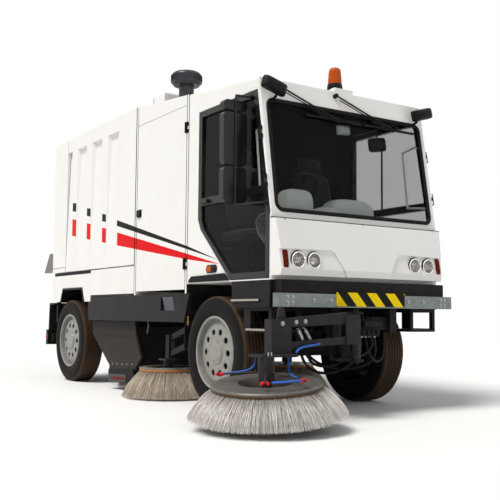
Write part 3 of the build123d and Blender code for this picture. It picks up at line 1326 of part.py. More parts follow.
def cup_brush(radius, plate_radius, height, plate_thick, shaft):
    # Local frame: bristle tips at Z = 0, plate above, turning about Z.
    skirt_in = plate_radius - 62
    outline = [
        (skirt_in, height), (plate_radius - 6, height), (radius, 0), (radius - 82, 0)]
    wire = Polyline(*[(r, 0, z) for r, z in outline], close=True)
    bristles = revolve(make_face(wire), axis=Axis.Z)
    disc = Pos(0, 0, height) * Cylinder(plate_radius, plate_thick, align=(Align.CENTER, Align.CENTER, Align.MIN))
    well = Pos(0, 0, height + plate_thick - 12) * Cylinder(plate_radius * 0.55, 20, align=(Align.CENTER, Align.CENTER, Align.MIN))
    spigot = Pos(0, 0, height) * Cylinder(30, shaft, align=(Align.CENTER, Align.CENTER, Align.MIN))
    return bristles + (disc - well) + spigot


def side_brush(side):
    height = SIDE_PLATE_Z - BRISTLE_CLEAR
    brush = cup_brush(SIDE_BRUSH_RADIUS, SIDE_PLATE_RADIUS, height, BRUSH_PLATE, BRUSH_PLATE + 6 - SEAT_GAP)
    return Pos(side * SIDE_BRUSH_X, SIDE_BRUSH_Y, BRISTLE_CLEAR) * brush


def link_mounts():
    parts = []
    for side in (-1, 1):
        x = side * LINK_X
        for dx in (-38, 22):
            parts.append(block(x + dx, x + dx + 16, LINK_FRONT_Y - 34, LINK_FRONT_Y + 34,
                               LINK_FRONT_Z - LINK_SPACING - 34, RAIL_TOP + 10))
        for drop in (0, LINK_SPACING):
            parts.append(rod((x - 38, LINK_FRONT_Y, LINK_FRONT_Z - drop), (x + 38, LINK_FRONT_Y, LINK_FRONT_Z - drop), PIN_RADIUS))
        x_rail = side * (RAIL_X + 22)
        parts.append(block(min(x - 38, x_rail), max(x + 38, x_rail), OUTRIGGER_PLACES[0] - OUTRIGGER_DEPTH / 2,
                           LINK_FRONT_Y + 34, RAIL_TOP, RAIL_TOP + 30))
    return join(parts)


# Front brush: carrier on the post, two parallel beams, a head, and the brush
def arm_carrier():
    sleeve = tube((-POST_X, POST_Y, POST_BOTTOM + 20 + SEAT_GAP), (-POST_X, POST_Y, POST_TOP - 20 - SEAT_GAP),
                  POST_RADIUS + POST_SLEEVE, POST_RADIUS + RUN_GAP)
    parts = [sleeve]
    half = ARM_WIDTH / 2
    for y0 in (POST_Y - half - 18, POST_Y + half + 2):
        cheek = front_form(
            [(-POST_X, 560), (-ARM_ROOT_X - 30, 560), (-ARM_ROOT_X - 34, ARM_ROOT_Z - 4),
             (-ARM_ROOT_X, 779), (-POST_X, 779)], y0, y0 + 16)
        cheek = cheek - rod((-POST_X, POST_Y, POST_BOTTOM), (-POST_X, POST_Y, POST_TOP), POST_RADIUS + RUN_GAP)
        parts.append(cheek)
    for drop in (0, ARM_SPACING):
        z = ARM_ROOT_Z - drop
        parts.append(rod((-ARM_ROOT_X, POST_Y - half - 18, z), (-ARM_ROOT_X, POST_Y + half + 18, z), PIN_RADIUS))
    return join(parts)


def arm_beam(drop, root_height, tip_height):
    root = (-ARM_ROOT_X, ARM_ROOT_Z - drop)
    tip = (-ARM_TIP_X, ARM_TIP_Z - drop)
    y0 = POST_Y - ARM_WIDTH / 2
    bar = front_form(
        [(root[0] - 20, root[1] - root_height / 2), (root[0] + 20, root[1] - 22), (root[0] + 20, root[1] + 22),
         (root[0] - 20, root[1] + root_height / 2), (tip[0] + 10, tip[1] + tip_height / 2), (tip[0] - 20, tip[1] + 18),
         (tip[0] - 20, tip[1] - 18), (tip[0] + 10, tip[1] - tip_height / 2)], y0, y0 + ARM_WIDTH)
    for x, z in (root, tip):
        bar = bar - rod((x, y0 - 10, z), (x, y0 + ARM_WIDTH + 10, z), PIN_RADIUS + RUN_GAP)
    return bar


def lift_lug():
    x = -955.0
    z = ARM_TIP_Z + ARM_TIP_HEIGHT / 2
    lug = [(x - 34, z - 10), (x - 24, z + 66), (x - 8, z + 84), (x + 12, z + 84), (x + 28, z + 66), (x + 38, z - 10)]
    return front_form(lug, POST_Y - 10, POST_Y + 10)


def upper_beam():
    return arm_beam(0, ARM_ROOT_HEIGHT, ARM_TIP_HEIGHT) + lift_lug()


def lower_beam():
    return arm_beam(ARM_SPACING, 52, 48)


def brush_tilt():
    # Turning frame of the front brush: leans forward and outwards.
    heading = math.radians(FRONT_TILT_HEADING)
    lean = math.radians(FRONT_TILT)
    axis = (-math.cos(heading) * math.sin(lean), -math.sin(heading) * math.sin(lean), math.cos(lean))
    low = FRONT_BRUSH_LOW + FRONT_BRUSH_RADIUS * math.sin(lean)
    return Plane(origin=(-FRONT_BRUSH_X, FRONT_BRUSH_Y, low), x_dir=(0, 1, 0), z_dir=axis)


def front_head():
    half = ARM_WIDTH / 2
    parts = []
    low = ARM_TIP_Z - ARM_SPACING - HEAD_DROP
    for y0 in (POST_Y - half - 18, POST_Y + half + 2):
        cheek = front_form(
            [(-HEAD_INNER_X, ARM_TIP_Z + 30), (-HEAD_OUTER_X, ARM_TIP_Z + 30), (-HEAD_OUTER_X, low), (-HEAD_INNER_X, low)],
            y0, y0 + 16)
        parts.append(cheek)
    parts.append(block(-HEAD_OUTER_X, -HEAD_OUTER_X + 14, POST_Y - half - 18, POST_Y + half + 18, low, ARM_TIP_Z + 30))
    for drop in (0, ARM_SPACING):
        z = ARM_TIP_Z - drop
        parts.append(rod((-ARM_TIP_X, POST_Y - half - 18, z), (-ARM_TIP_X, POST_Y + half + 18, z), PIN_RADIUS))
    parts.append(block(-ARM_TIP_X - 205, -HEAD_INNER_X, FRONT_BRUSH_Y - 62, POST_Y + half + 18, low - HEAD_PLATE, low))
    frame = brush_tilt()
    height = (FRONT_PLATE_Z - FRONT_BRUSH_LOW) * 0.77
    motor = frame * (Pos(0, 0, height + BRUSH_PLATE + 6) * Cylinder(56, 170, align=(Align.CENTER, Align.CENTER, Align.MIN)))
    parts.append(motor)
    for name, place in NOZZLES.items():
        reach = Vector(*place)
        parts.append(rod(SPRAY_ROOT, place, 6))
        parts.append(Pos(*place) * Sphere(13))
    for nozzle, run, end in HOSE_STUBS:
        parts.append(rod(NOZZLES[nozzle], stub_end(nozzle, run, end), HOSE_STUB))
    return join(parts)


def stub_end(nozzle, run, end):
    # The stub stops just short of the hose end it feeds.
    centre = Vector(*NOZZLES[nozzle])
    reach = Vector(*HOSE_RUNS[run][end]) - centre
    return tuple(centre + reach * ((reach.length - STUB_GAP) / reach.length))


# Water for the brush: three spray nozzles on thin bars, fed by three short hoses
SPRAY_ROOT = (-1126.0, -1178.0, 392.0)
NOZZLES = {
    "rear": (-1352.0, -941.0, 366.0),
    "side": (-1312.0, -1432.0, 337.0),
    "front": (-1067.0, -1516.0, 354.0),
}
HOSE = 15.0
HOSE_STUB = 5.0
STUB_GAP = 2.0
HOSE_TOP = ARM_TIP_Z - ARM_SPACING - HEAD_DROP - HEAD_PLATE - SEAT_GAP
HOSE_RUNS = {
    "supply": [(-915.0, -1136.0, HOSE_TOP), (-915.0, -1136.0, 440.0), (-925.0, -1157.0, 396.0),
               (-943.0, -1195.0, 368.0), (-985.0, -1290.0, 362.0), (-1046.0, -1424.0, 362.0)],
    "cross": [(-1096.0, -1530.0, 356.0), (-1150.0, -1526.0, 353.0), (-1215.0, -1500.0, 348.0), (-1274.0, -1456.0, 342.0)],
    "back": [(-1150.0, -1082.0, HOSE_TOP), (-1150.0, -1082.0, 445.0), (-1169.0, -1068.0, 408.0), (-1208.0, -1039.0, 385.0),
             (-1318.0, -957.0, 371.0)],
}
HOSE_STUBS = (("front", "supply", -1), ("front", "cross", 0), ("side", "cross", -1), ("rear", "back", -1))


def hose_radii(points):
    radii = []
    for before, here, after in zip(points, points[1:], points[2:]):
        a = Vector(*here) - Vector(*before)
        b = Vector(*after) - Vector(*here)
        half_turn = math.radians(a.get_angle(b)) / 2
        radii.append(round(0.45 * min(a.length, b.length) / math.tan(half_turn), 1))
    return radii


def arm_hoses():
    parts = []
    for name, points in HOSE_RUNS.items():
        radii = hose_radii(points)
        print("hose", name, "bend radii", radii)
        path = FilletPolyline(*points, radius=radii)
        start = Plane(origin=points[0], z_dir=Vector(*points[1]) - Vector(*points[0]))
        parts.append(sweep(start * Circle(HOSE / 2), path=path))
    return parts


def front_brush():
    height = (FRONT_PLATE_Z - FRONT_BRUSH_LOW) * 0.77
    brush = cup_brush(FRONT_BRUSH_RADIUS, FRONT_PLATE_RADIUS, height, BRUSH_PLATE, BRUSH_PLATE + 6 - SEAT_GAP)
    return brush_tilt() * brush


# Write every piece
def main():
    os.makedirs("parts", exist_ok=True)
    save("chassis_frame", join([chassis(), arm_bracket(), valve_block(), ram_mount(), link_mounts()]))
    save("front_axle", front_axle())
    save("rear_axle", rear_axle())
    names = {-1: "right", 1: "left"}
    for side, name in names.items():
        save("knuckle_" + name, knuckle(side))
        for end, y in (("front", 0.0), ("rear", WHEELBASE)):
            save("tyre_" + end + "_" + name, tyre(side, y))
            save("rim_" + end + "_" + name, rim(side, y))
        save("cab_door_" + name, cab_door(side))
        save("door_glass_" + name, door_glass(side))
        save("service_door_" + name, service_door(side))
        save("side_link_upper_" + name, side_link(side, 0))
        save("side_link_lower_" + name, side_link(side, LINK_SPACING))
        save("side_head_" + name, side_head(side))
        save("side_brush_" + name, side_brush(side))
    save("cab_shell", cab_shell())
    save("windscreen", windscreen())
    save("nose_panel", nose_panel())
    save("front_lamps", front_lamps())
    save("front_bumper", front_bumper())
    save("hazard_plate", hazard_plate())
    save("cab_underframe", cab_underframe())
    save("roof_beacon", roof_beacon())
    save("work_lamps", work_lamps())
    save("intake_stack", intake_stack())
    save("wiper_right", wiper(WIPER_PIVOTS[0]))
    save("wiper_middle", wiper(WIPER_PIVOTS[1]))
    save("dashboard", dashboard())
    save("steering_wheel", steering_wheel())
    save("seats", seats())
    save("engine_module", engine_module())
    save("engine_block", engine_block())
    save("container", container())
    save("container_door", container_door())
    save("tip_ram_barrel", tip_ram_barrel())
    save("tip_ram_rod", tip_ram_rod())
    save("lower_panels", lower_panels())
    save("side_skirts", side_skirts())
    save("brush_chamber", brush_chamber())
    save("main_brush", main_brush())
    save("rear_guards", rear_guards())
    save("rear_lamps", rear_lamps())
    save("arm_carrier", arm_carrier())
    save("arm_beam_upper", upper_beam())
    save("arm_beam_lower", lower_beam())
    save("front_head", front_head())
    save("arm_hoses", arm_hoses())
    save("front_brush", front_brush())


main()
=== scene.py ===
# %% [markdown]
# # A compact road sweeper
# The CAD model gives the size, the structure and the joints. This lesson dresses it: paint, glass, rubber,
# steel and bristles. Lengths are metres, the floor is z = 0, the vehicle faces -y and its right side is -x.

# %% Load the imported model
import bpy
import bmesh
import math
import numpy as np
from mathutils import Matrix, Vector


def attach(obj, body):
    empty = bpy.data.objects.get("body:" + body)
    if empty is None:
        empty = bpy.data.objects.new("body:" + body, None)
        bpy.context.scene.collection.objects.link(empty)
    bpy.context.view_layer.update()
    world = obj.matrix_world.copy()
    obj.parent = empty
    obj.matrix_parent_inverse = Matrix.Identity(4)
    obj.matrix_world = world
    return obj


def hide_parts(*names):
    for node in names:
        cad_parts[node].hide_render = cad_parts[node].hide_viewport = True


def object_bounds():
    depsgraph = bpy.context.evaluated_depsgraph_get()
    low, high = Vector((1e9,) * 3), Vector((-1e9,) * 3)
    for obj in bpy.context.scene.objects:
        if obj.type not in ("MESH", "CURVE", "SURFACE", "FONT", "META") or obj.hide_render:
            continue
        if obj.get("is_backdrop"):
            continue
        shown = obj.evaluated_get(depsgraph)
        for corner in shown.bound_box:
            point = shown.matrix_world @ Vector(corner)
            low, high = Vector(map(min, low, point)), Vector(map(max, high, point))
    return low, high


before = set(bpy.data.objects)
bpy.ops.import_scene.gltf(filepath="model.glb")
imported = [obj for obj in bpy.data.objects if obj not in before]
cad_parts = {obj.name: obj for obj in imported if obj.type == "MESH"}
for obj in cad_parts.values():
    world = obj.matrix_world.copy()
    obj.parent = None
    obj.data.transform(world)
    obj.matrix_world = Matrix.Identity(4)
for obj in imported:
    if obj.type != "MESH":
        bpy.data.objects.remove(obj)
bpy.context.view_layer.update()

scene = bpy.context.scene
rng = np.random.default_rng(7)

# %% [markdown]
# Lengths that are needed in several places have names: axles, width, and the slopes of windscreen and roof.

# %% Main measures
AXLE_Z, WHEELBASE, HALF_WIDTH = 0.46, 3.255, 0.86
FILM_REACH = 0.815  # the outer skin begins here
SIDES = (("right", -1), ("left", 1))
AXLES = (("front", 0.0), ("rear", WHEELBASE))
ORIGIN, UP, FORWARD = (0, 0, 0), (0, 0, 1), (0.0, -1.0, 0.0)
SCREEN_TOP_Y, SCREEN_TOP_Z, SCREEN_SLOPE = -0.655, 2.592, 0.16026
ROOF_RISE, ROOF_Z = 0.0965, 2.6552  # roof height = ROOF_Z + ROOF_RISE * y
SKIN_X = 0.8602  # just outside the body's side
CHAMBER_X = 0.8
BLACK = ("moulded_black_plastic", "chassis", "black_plastic")
print("wheelbase", WHEELBASE, "width", 2 * HALF_WIDTH)

# %% [markdown]
# Colours are written as they look on a screen (sRGB hex) and turned to linear light once, by one function.
# A second function adds a node with its settings and links; four short ones build on it.

# %% Colour and node helpers
def linear(text):
    """sRGB hex to linear light: c / 12.92 near black, else ((c + 0.055) / 1.055) to the power 2.4."""
    c = np.array([int(text[i:i + 2], 16) for i in (1, 3, 5)]) / 255
    c = np.where(c <= 0.04045, c / 12.92, ((c + 0.055) / 1.055) ** 2.4)
    return (*[float(v) for v in c], 1.0)


def add(tree, kind, inputs=None, **settings):
    """One shader node. Inputs are numbers for its sockets, or outputs of other nodes to link."""
    node = tree.nodes.new("ShaderNode" + kind)
    for key, value in settings.items():
        setattr(node, key, value)
    for key, value in (inputs or {}).items():
        if isinstance(value, bpy.types.NodeSocket):
            tree.links.new(value, node.inputs[key])
        else:
            node.inputs[key].default_value = value
    return node


def maths(tree, operation, *values):
    """Result of one Math node on numbers or sockets."""
    return add(tree, "Math", dict(enumerate(values)), operation=operation).outputs[0]


def blend(tree, share, tint, colour):
    """Result of one Mix node: (1 - share) * tint + share * colour, given as sRGB hex."""
    return add(tree, "Mix", {0: share, 6: tint, 7: linear(colour)}, data_type="RGBA").outputs[2]


def parts_of(tree, place):
    """The x, y and z of a point, each as a socket."""
    return add(tree, "SeparateXYZ", {0: place}).outputs


def reach_of(tree, place):
    """The coordinates of the point, and its distance |x| from the middle plane."""
    axes = parts_of(tree, place)
    return axes, maths(tree, "ABSOLUTE", axes["X"])


# %% [markdown]
# Every finish starts as one real material with its typical roughness, and gets what makes it look used:
# cloudy colour change over some centimetres, a fine grain that only catches the light, and road dust that
# thins out with height.

# %% The finish recipe
materials = {}


def finish(name, colour, rough, metal=0.0, cloud="#000000", mottle=0.1, cloud_mm=90.0, grain_mm=0.0,
           depth_mm=0.1,
           dust=None, overlay=None, shine=0.1, **sockets):
    """Principled shader. Colour = mix(colour, cloud, mottle * noise of cloud_mm).

    dust = (hex, top, amount) is full at the floor and fades to nothing at top.
    """
    mat = bpy.data.materials.new(name)
    mat.use_nodes = True
    tree = mat.node_tree
    tree.nodes.clear()
    place = add(tree, "TexCoord").outputs["Object"]
    noise = add(tree, "TexNoise", {"Vector": place, "Scale": 1000 / cloud_mm, "Detail": 6.0,
                                   "Roughness": 0.62})
    share = add(tree, "MapRange", {"Value": noise.outputs["Fac"], "From Min": 0.38, "From Max": 0.72,
                                   "To Max": mottle})
    tint = add(tree, "Mix", {0: share.outputs[0], 6: linear(colour), 7: linear(cloud)},
               data_type="RGBA").outputs[2]
    if overlay:
        tint = overlay(tree, place, tint)
    if dust:
        height = parts_of(tree, place)["Z"]
        fade = add(tree, "MapRange", {"Value": height, "From Min": dust[1], "From Max": 0.0,
                                      "To Max": dust[2]})
        blotch = add(tree, "MapRange", {"Value": noise.outputs["Fac"], "From Min": 0.3, "From Max": 0.65})
        tint = blend(tree, maths(tree, "MULTIPLY", fade.outputs[0], blotch.outputs[0]), tint, dust[0])
    spread = min(0.07, rough / 2)
    gloss = add(tree, "MapRange", {"Value": noise.outputs["Fac"], "To Min": rough - spread,
                                   "To Max": rough + spread})
    shader = add(tree, "BsdfPrincipled", {"Base Color": tint, "Roughness": gloss.outputs[0],
                                          "Metallic": metal,
                                          "Specular IOR Level": shine})
    if grain_mm:
        fine = add(tree, "TexNoise", {"Vector": place, "Scale": 1000 / grain_mm, "Detail": 3.0})
        bump = add(tree, "Bump", {"Height": fine.outputs["Fac"], "Strength": 0.5,
                                  "Distance": depth_mm / 1000})
        tree.links.new(bump.outputs[0], shader.inputs["Normal"])
    for key, value in sockets.items():
        shader.inputs[key.replace("_", " ")].default_value = value
    add(tree, "OutputMaterial", {"Surface": shader.outputs[0]})
    materials[name] = mat
    return mat


def between(tree, value, low, high):
    """1 where low < value < high: product of two comparisons."""
    a = maths(tree, "GREATER_THAN", value, low)
    b = maths(tree, "LESS_THAN", value, high)
    return maths(tree, "MULTIPLY", a, b)


# %% [markdown]
# The white body paint is sprayed enamel. It carries bars and two long wedges in black and red, cut from
# film. A pattern on Object coordinates puts them across the seams of cab, engine module and container in
# one go: each bar lies between two values of y and between two straight lines z = slope * y + rise.

# %% Striped side paint
# y from, y to, lower edge z at those, upper edge z at those
BLACK_BARS = [
    (3.08, 3.191, 1.927, 1.945, 2.024, 2.042),
    (2.647, 2.755, 1.829, 1.848, 1.918, 1.936),
    (2.219, 2.323, 1.731, 1.749, 1.811, 1.828),
    (0.437, 1.934, 1.332, 1.665, 1.359, 1.725),
    (-0.058, 0.437, 1.219, 1.332, 1.221, 1.359),
]
RED_BARS = [
    (3.069, 3.191, 1.639, 1.662, 1.832, 1.855),
    (2.637, 2.747, 1.572, 1.592, 1.747, 1.767),
    (2.209, 2.317, 1.508, 1.525, 1.662, 1.679),
    (0.436, 1.924, 1.243, 1.464, 1.292, 1.598),
    (-0.101, 0.436, 1.177, 1.243, 1.179, 1.292),
]


def bars(tree, y, z, table):
    """Largest of the masks of all bars in the table."""
    mask = None
    for y0, y1, low0, low1, high0, high1 in table:
        span = between(tree, y, y0, y1)
        for z0, z1, way in ((low0, low1, "GREATER_THAN"), (high0, high1, "LESS_THAN")):
            slope = (z1 - z0) / (y1 - y0)
            line = maths(tree, "MULTIPLY_ADD", y, slope, z0 - slope * y0)
            side = maths(tree, way, z, line)
            span = maths(tree, "MULTIPLY", span, side)
        mask = span if mask is None else maths(tree, "MAXIMUM", mask, span)
    return mask


# Joints between cab, module and container, round the service door and below the container: y from, y to, z
# from
SHUT_LINES = ((0.4275, 0.4385, 0.9), (0.464, 0.474, 0.985), (1.458, 1.468, 0.985), (1.4925, 1.509, 0.9),
              (3.3695, 3.38, 1.25))


def side_film(tree, place, tint):
    """Black and red film where |x| is over 0.815, dark shut lines in the joints, black hinges outside
    the skin."""
    axes, reach = reach_of(tree, place)
    skin = maths(tree, "GREATER_THAN", reach, FILM_REACH)
    for table, colour in ((BLACK_BARS, "#0B0B0D"), (RED_BARS, "#D8000C")):
        mask = maths(tree, "MULTIPLY", bars(tree, axes["Y"], axes["Z"], table), skin)
        tint = blend(tree, mask, tint, colour)
    dark = maths(tree, "GREATER_THAN", reach, HALF_WIDTH + 0.0006)
    for y0, y1, z0 in SHUT_LINES:
        above = maths(tree, "GREATER_THAN", axes["Z"], z0)
        line = maths(tree, "MULTIPLY", between(tree, axes["Y"], y0, y1), above)
        dark = maths(tree, "MAXIMUM", dark, line)
    return blend(tree, dark, tint, "#1A1A1B")


def cab_inside_painted_shade(tree, place, tint):
    """The same skin, and painted shade in near black where a point lies inside the cab."""
    tint = side_film(tree, place, tint)
    axes, reach = reach_of(tree, place)
    lean = maths(tree, "MULTIPLY_ADD", axes["Z"], SCREEN_SLOPE, -1.07 + 0.012)
    lean = maths(tree, "MAXIMUM", lean, -0.818)
    roof = maths(tree, "MULTIPLY_ADD", axes["Y"], ROOF_RISE, ROOF_Z - 0.02)
    inside = between(tree, reach, -1.0, 0.852)
    for value, limit, way in ((axes["Y"], lean, "GREATER_THAN"), (axes["Y"], 0.41, "LESS_THAN"),
                              (axes["Z"], roof, "LESS_THAN"),
                              (axes["Z"], 1.05, "GREATER_THAN")):
        test = maths(tree, way, value, limit)
        inside = maths(tree, "MULTIPLY", inside, test)
    # near-black painted shade on the inside of the cab
    return blend(tree, inside, tint, "#1D1E20")


def patch(tree, tint, colour, *spans):
    """The colour where every value lies between its two limits."""
    mask = None
    for value, low, high in spans:
        span = between(tree, value, low, high)
        mask = span if mask is None else maths(tree, "MULTIPLY", mask, span)
    return blend(tree, mask, tint, colour)


def panel_band(tree, place, tint):
    """A dark shadow line where the panel laps over the skirt."""
    axes = parts_of(tree, place)
    return patch(tree, tint, "#1B1B1C", (axes["Z"], 0.93, 0.968), (axes["Y"], 0.0, 2.59))


def nose_seam_painted_shade(tree, place, tint):
    """Painted shade: a dark line along the top edge of the nose, where the windscreen frame begins."""
    axes = parts_of(tree, place)
    # dark grey painted shade on the nose's top edge
    return patch(tree, tint, "#1B1B1C", (axes["Z"], 1.4845, 9.0), (axes["Y"], -9.0, -0.5))


def gusset_painted_shade(tree, place, tint):
    """Grey painted shade where the tail gussets stand out from the rear door."""
    axes, reach = reach_of(tree, place)
    # grey painted shade on the gussets
    return patch(tree, tint, "#7A7472", (axes["Y"], 3.8012, 9.0), (reach, 0.79, 9.0))


WHITE = dict(colour="#EBEAE8", rough=0.32, cloud="#CFCBC4", mottle=0.12, cloud_mm=420, grain_mm=2.5,
             depth_mm=0.05,
             dust=("#A99E8E", 1.35, 0.22), shine=0.05)
finish("sprayed_white_enamel", **WHITE)
finish("white_enamel_with_film", **WHITE, overlay=side_film)
finish("white_enamel_with_cab_inside_shade", **WHITE, overlay=cab_inside_painted_shade)
finish("white_enamel_panel", **WHITE, overlay=panel_band)
finish("white_enamel_tail_with_gusset_shade", **WHITE, overlay=gusset_painted_shade)
finish("white_enamel_nose_with_seam_shade", **WHITE, overlay=nose_seam_painted_shade)
print("white paints ready")

# %% [markdown]
# Underneath everything is dark: black chassis paint dulled by dust, cast iron with a rough skin, and
# charcoal powder coat on the skirts and the arm. Zinc plate on the bumper is a metal with cloudy spangle.
# Tyres are brown where they roll.

# %% Dark paints, metals and rubber
def rail_green_with_painted_light(tree, place, tint):
    """Pale grey-green on the grab rail, the only part of the door within |x| = 0.812: its own grey-green
    lightened to near white as painted light.
    """
    reach = reach_of(tree, place)[1]
    # the rail's grey-green, lightened as painted light
    return patch(tree, tint, "#F2F7F5", (reach, -1.0, 0.812))


def wheel_shadow(tree, place, tint):
    """Painted shadow in near black inside the wheel, behind its pressed disc."""
    reach = reach_of(tree, place)[1]
    return patch(tree, tint, "#1C1A18", (reach, 0.0, 0.79))


# name, colour, roughness, metal, cloud colour, its share, its size mm, grain mm, grain depth mm, further
# settings
FINISHES = [
    ("black_chassis_paint", "#171618", 0.48, 0, "#2A2724", 0.5, 70, 3, 0.1,
     dict(dust=("#5A5046", 0.8, 0.25))),
    ("cast_iron_painted", "#151414", 0.55, 0, "#332C25", 0.5, 50, 2, 0.4, dict(dust=("#5F5448", 0.8, 0.3))),
    ("grey_cast_engine", "#3A3C3E", 0.6, 0.3, "#1C1C1C", 0.5, 90, 2, 0.4, {}),
    ("charcoal_powder_coat", "#211F20", 0.45, 0, "#161516", 0.4, 160, 1.2, 0.1,
     dict(dust=("#4E463E", 0.85, 0.2))),
    ("deep_blue_enamel", "#1A2436", 0.22, 0, "#10151F", 0.5, 60, 0, 0.1, dict(shine=0.6)),
    ("pale_lamp_silver", "#C9CDD0", 0.25, 0.6, "#9EA3A6", 0.3, 15, 0, 0.1, {}),
    ("worn_chamber_sheet", "#2A2726", 0.6, 0, "#37302B", 0.5, 60, 2, 0.1,
     dict(dust=("#5A4D40", 0.55, 0.4))),
    ("arm_black_paint", "#29292C", 0.4, 0, "#3E3C3A", 0.45, 40, 1.5, 0.1,
     dict(dust=("#6B5F52", 0.55, 0.3))),
    ("galvanised_steel", "#7F8583", 0.4, 0.85, "#5C6361", 0.5, 60, 2, 0.05, {}),
    ("zinc_plated_bolt", "#A7AAA8", 0.35, 0.9, "#6D6F6C", 0.5, 8, 0, 0.1, {}),
    ("bright_tread_steel", "#B5B0A6", 0.35, 0.7, "#6E6A62", 0.7, 12, 0, 0.1, {}),
    ("brass_fitting", "#B08A45", 0.3, 1.0, "#7D5F2C", 0.4, 8, 0, 0.1, {}),
    ("bright_chrome", "#E4E4E2", 0.06, 1.0, "#000000", 0.05, 90, 0, 0.1, {}),
    ("tyre_side_rubber", "#0E0D0C", 0.6, 0, "#1C1917", 0.7, 60, 2.5, 0.1, dict(dust=("#3A3129", 0.5, 0.2))),
    ("moulded_black_plastic", "#151516", 0.42, 0, "#242425", 0.4, 30, 0.8, 0.1, {}),
    ("seal_rubber", "#0F0F10", 0.5, 0, "#1C1C1C", 0.5, 25, 1.5, 0.1, {}),
    ("door_frame_enamel", "#121214", 0.25, 0, "#1D1D1F", 0.3, 80, 0, 0.1,
     dict(shine=0.35, overlay=rail_green_with_painted_light)),
    ("silver_wheel_enamel", "#999995", 0.38, 0.35, "#7F7A72", 0.45, 45, 1.5, 0.1,
     dict(dust=("#756A5C", 0.95, 0.25), overlay=wheel_shadow)),
    ("grey_green_cab_moulding", "#818C89", 0.5, 0, "#6A7471", 0.3, 60, 1.0, 0.2, {}),
    # The next finish is a paler copy of the grey-green moulding: painted light on the tops of the dashboard
    # housings.
    ("pale_cab_moulding", "#DDE3E0", 0.5, 0, "#B4BCB8", 0.3, 60, 1.0, 0.2, {}),
    ("dark_seat_cloth", "#2C2E32", 0.9, 0, "#1B1C20", 0.7, 3.0, 3.0, 0.4, dict(Sheen_Weight=0.3)),
    ("blue_hose_rubber", "#3C69BE", 0.4, 0, "#2A4C92", 0.5, 20, 0, 0.1, {}),
    ("red_nozzle_plastic", "#E0151A", 0.3, 0, "#B30F14", 0.3, 8, 0, 0.1, {}),
    ("painted_steel_intake", "#43464A", 0.32, 0.55, "#2A2C2F", 0.5, 30, 0, 0.1, {}),
    ("brush_plate_steel", "#5A5856", 0.45, 0.3, "#76706A", 0.7, 30, 2, 0.1, dict(shine=0.4)),
    ("brown_rim_wood", "#5B4632", 0.6, 0, "#33271C", 0.6, 12, 0, 0.1, {}),
    ("tan_moulding", "#8C7B66", 0.6, 0, "#6A5C4B", 0.6, 10, 0, 0.1, {}),
    ("orange_band_plastic", "#C9803F", 0.5, 0, "#9A6233", 0.5, 15, 0, 0.1, {}),
    # The reflector's near-black cloud at full share is painted reflection: dark patches on the mirror bowl.
    ("lamp_reflector", "#C9C6C0", 0.12, 1.0, "#211F1D", 1.0, 52, 0, 0.1, {}),
    ("smoked_lamp_glass", "#6A6254", 0.15, 0, "#3A352C", 0.7, 25, 0, 0.1, dict(shine=0.4)),
    ("warm_bulb_glass", "#E8C49A", 0.2, 0, "#B58A5A", 0.4, 6, 0, 0.1, {}),
    ("mirror_silver", "#B9BEC2", 0.03, 1.0, "#000000", 0.02, 90, 0, 0.1, {}),
    ("red_lens", "#4C0B05", 0.2, 0, "#8F2C08", 0.6, 18, 0, 0.1, dict(shine=0.05)),
    ("amber_lens", "#C4520A", 0.15, 0, "#8C3406", 0.6, 22, 0, 0.1, dict(Transmission_Weight=0.15)),
]
for *row, more in FINISHES:
    finish(*row, **more)
print(len(materials), "finishes")

# %% [markdown]
# Window glass is grey tinted: the tint sits in the transmitted light, the reflection stays clear. Lamp
# glass is clear.

# %% Glass
for name, tint, rough, ior in (("tinted_window_glass", "#C8C9C8", 0.0, 1.12),
                               ("clear_lamp_glass", "#F4F6F6", 0.03, 1.4)):
    finish(name, tint, rough, mottle=0.04, cloud_mm=200, Transmission_Weight=1.0, IOR=ior)


# %% [markdown]
# The warning plate is yellow enamel with black bars that lean like a backslash. The distance along x,
# shifted with height, is wrapped by its pitch of 193 mm, and half of each pitch is yellow.

# %% Warning plate
def warning_bars(tree, place, tint):
    """Yellow where fraction((x - 0.9 * (0.945 - z) + 0.34) / 0.193) is over one half."""
    axes = parts_of(tree, place)
    lean = maths(tree, "MULTIPLY_ADD", axes["Z"], 0.9, axes["X"])
    shift = maths(tree, "MULTIPLY_ADD", lean, 1 / 0.193, (0.34 - 0.8505) / 0.193)
    part = maths(tree, "FRACT", shift)
    black = maths(tree, "LESS_THAN", part, 0.5)
    return blend(tree, black, tint, "#101012")


finish("warning_plate_enamel", "#F5D60A", 0.35, cloud="#C9AC08", mottle=0.35, cloud_mm=25,
       overlay=warning_bars)

# %% [markdown]
# The CAD nodes keep their shapes. Each gets the finish of the real part.

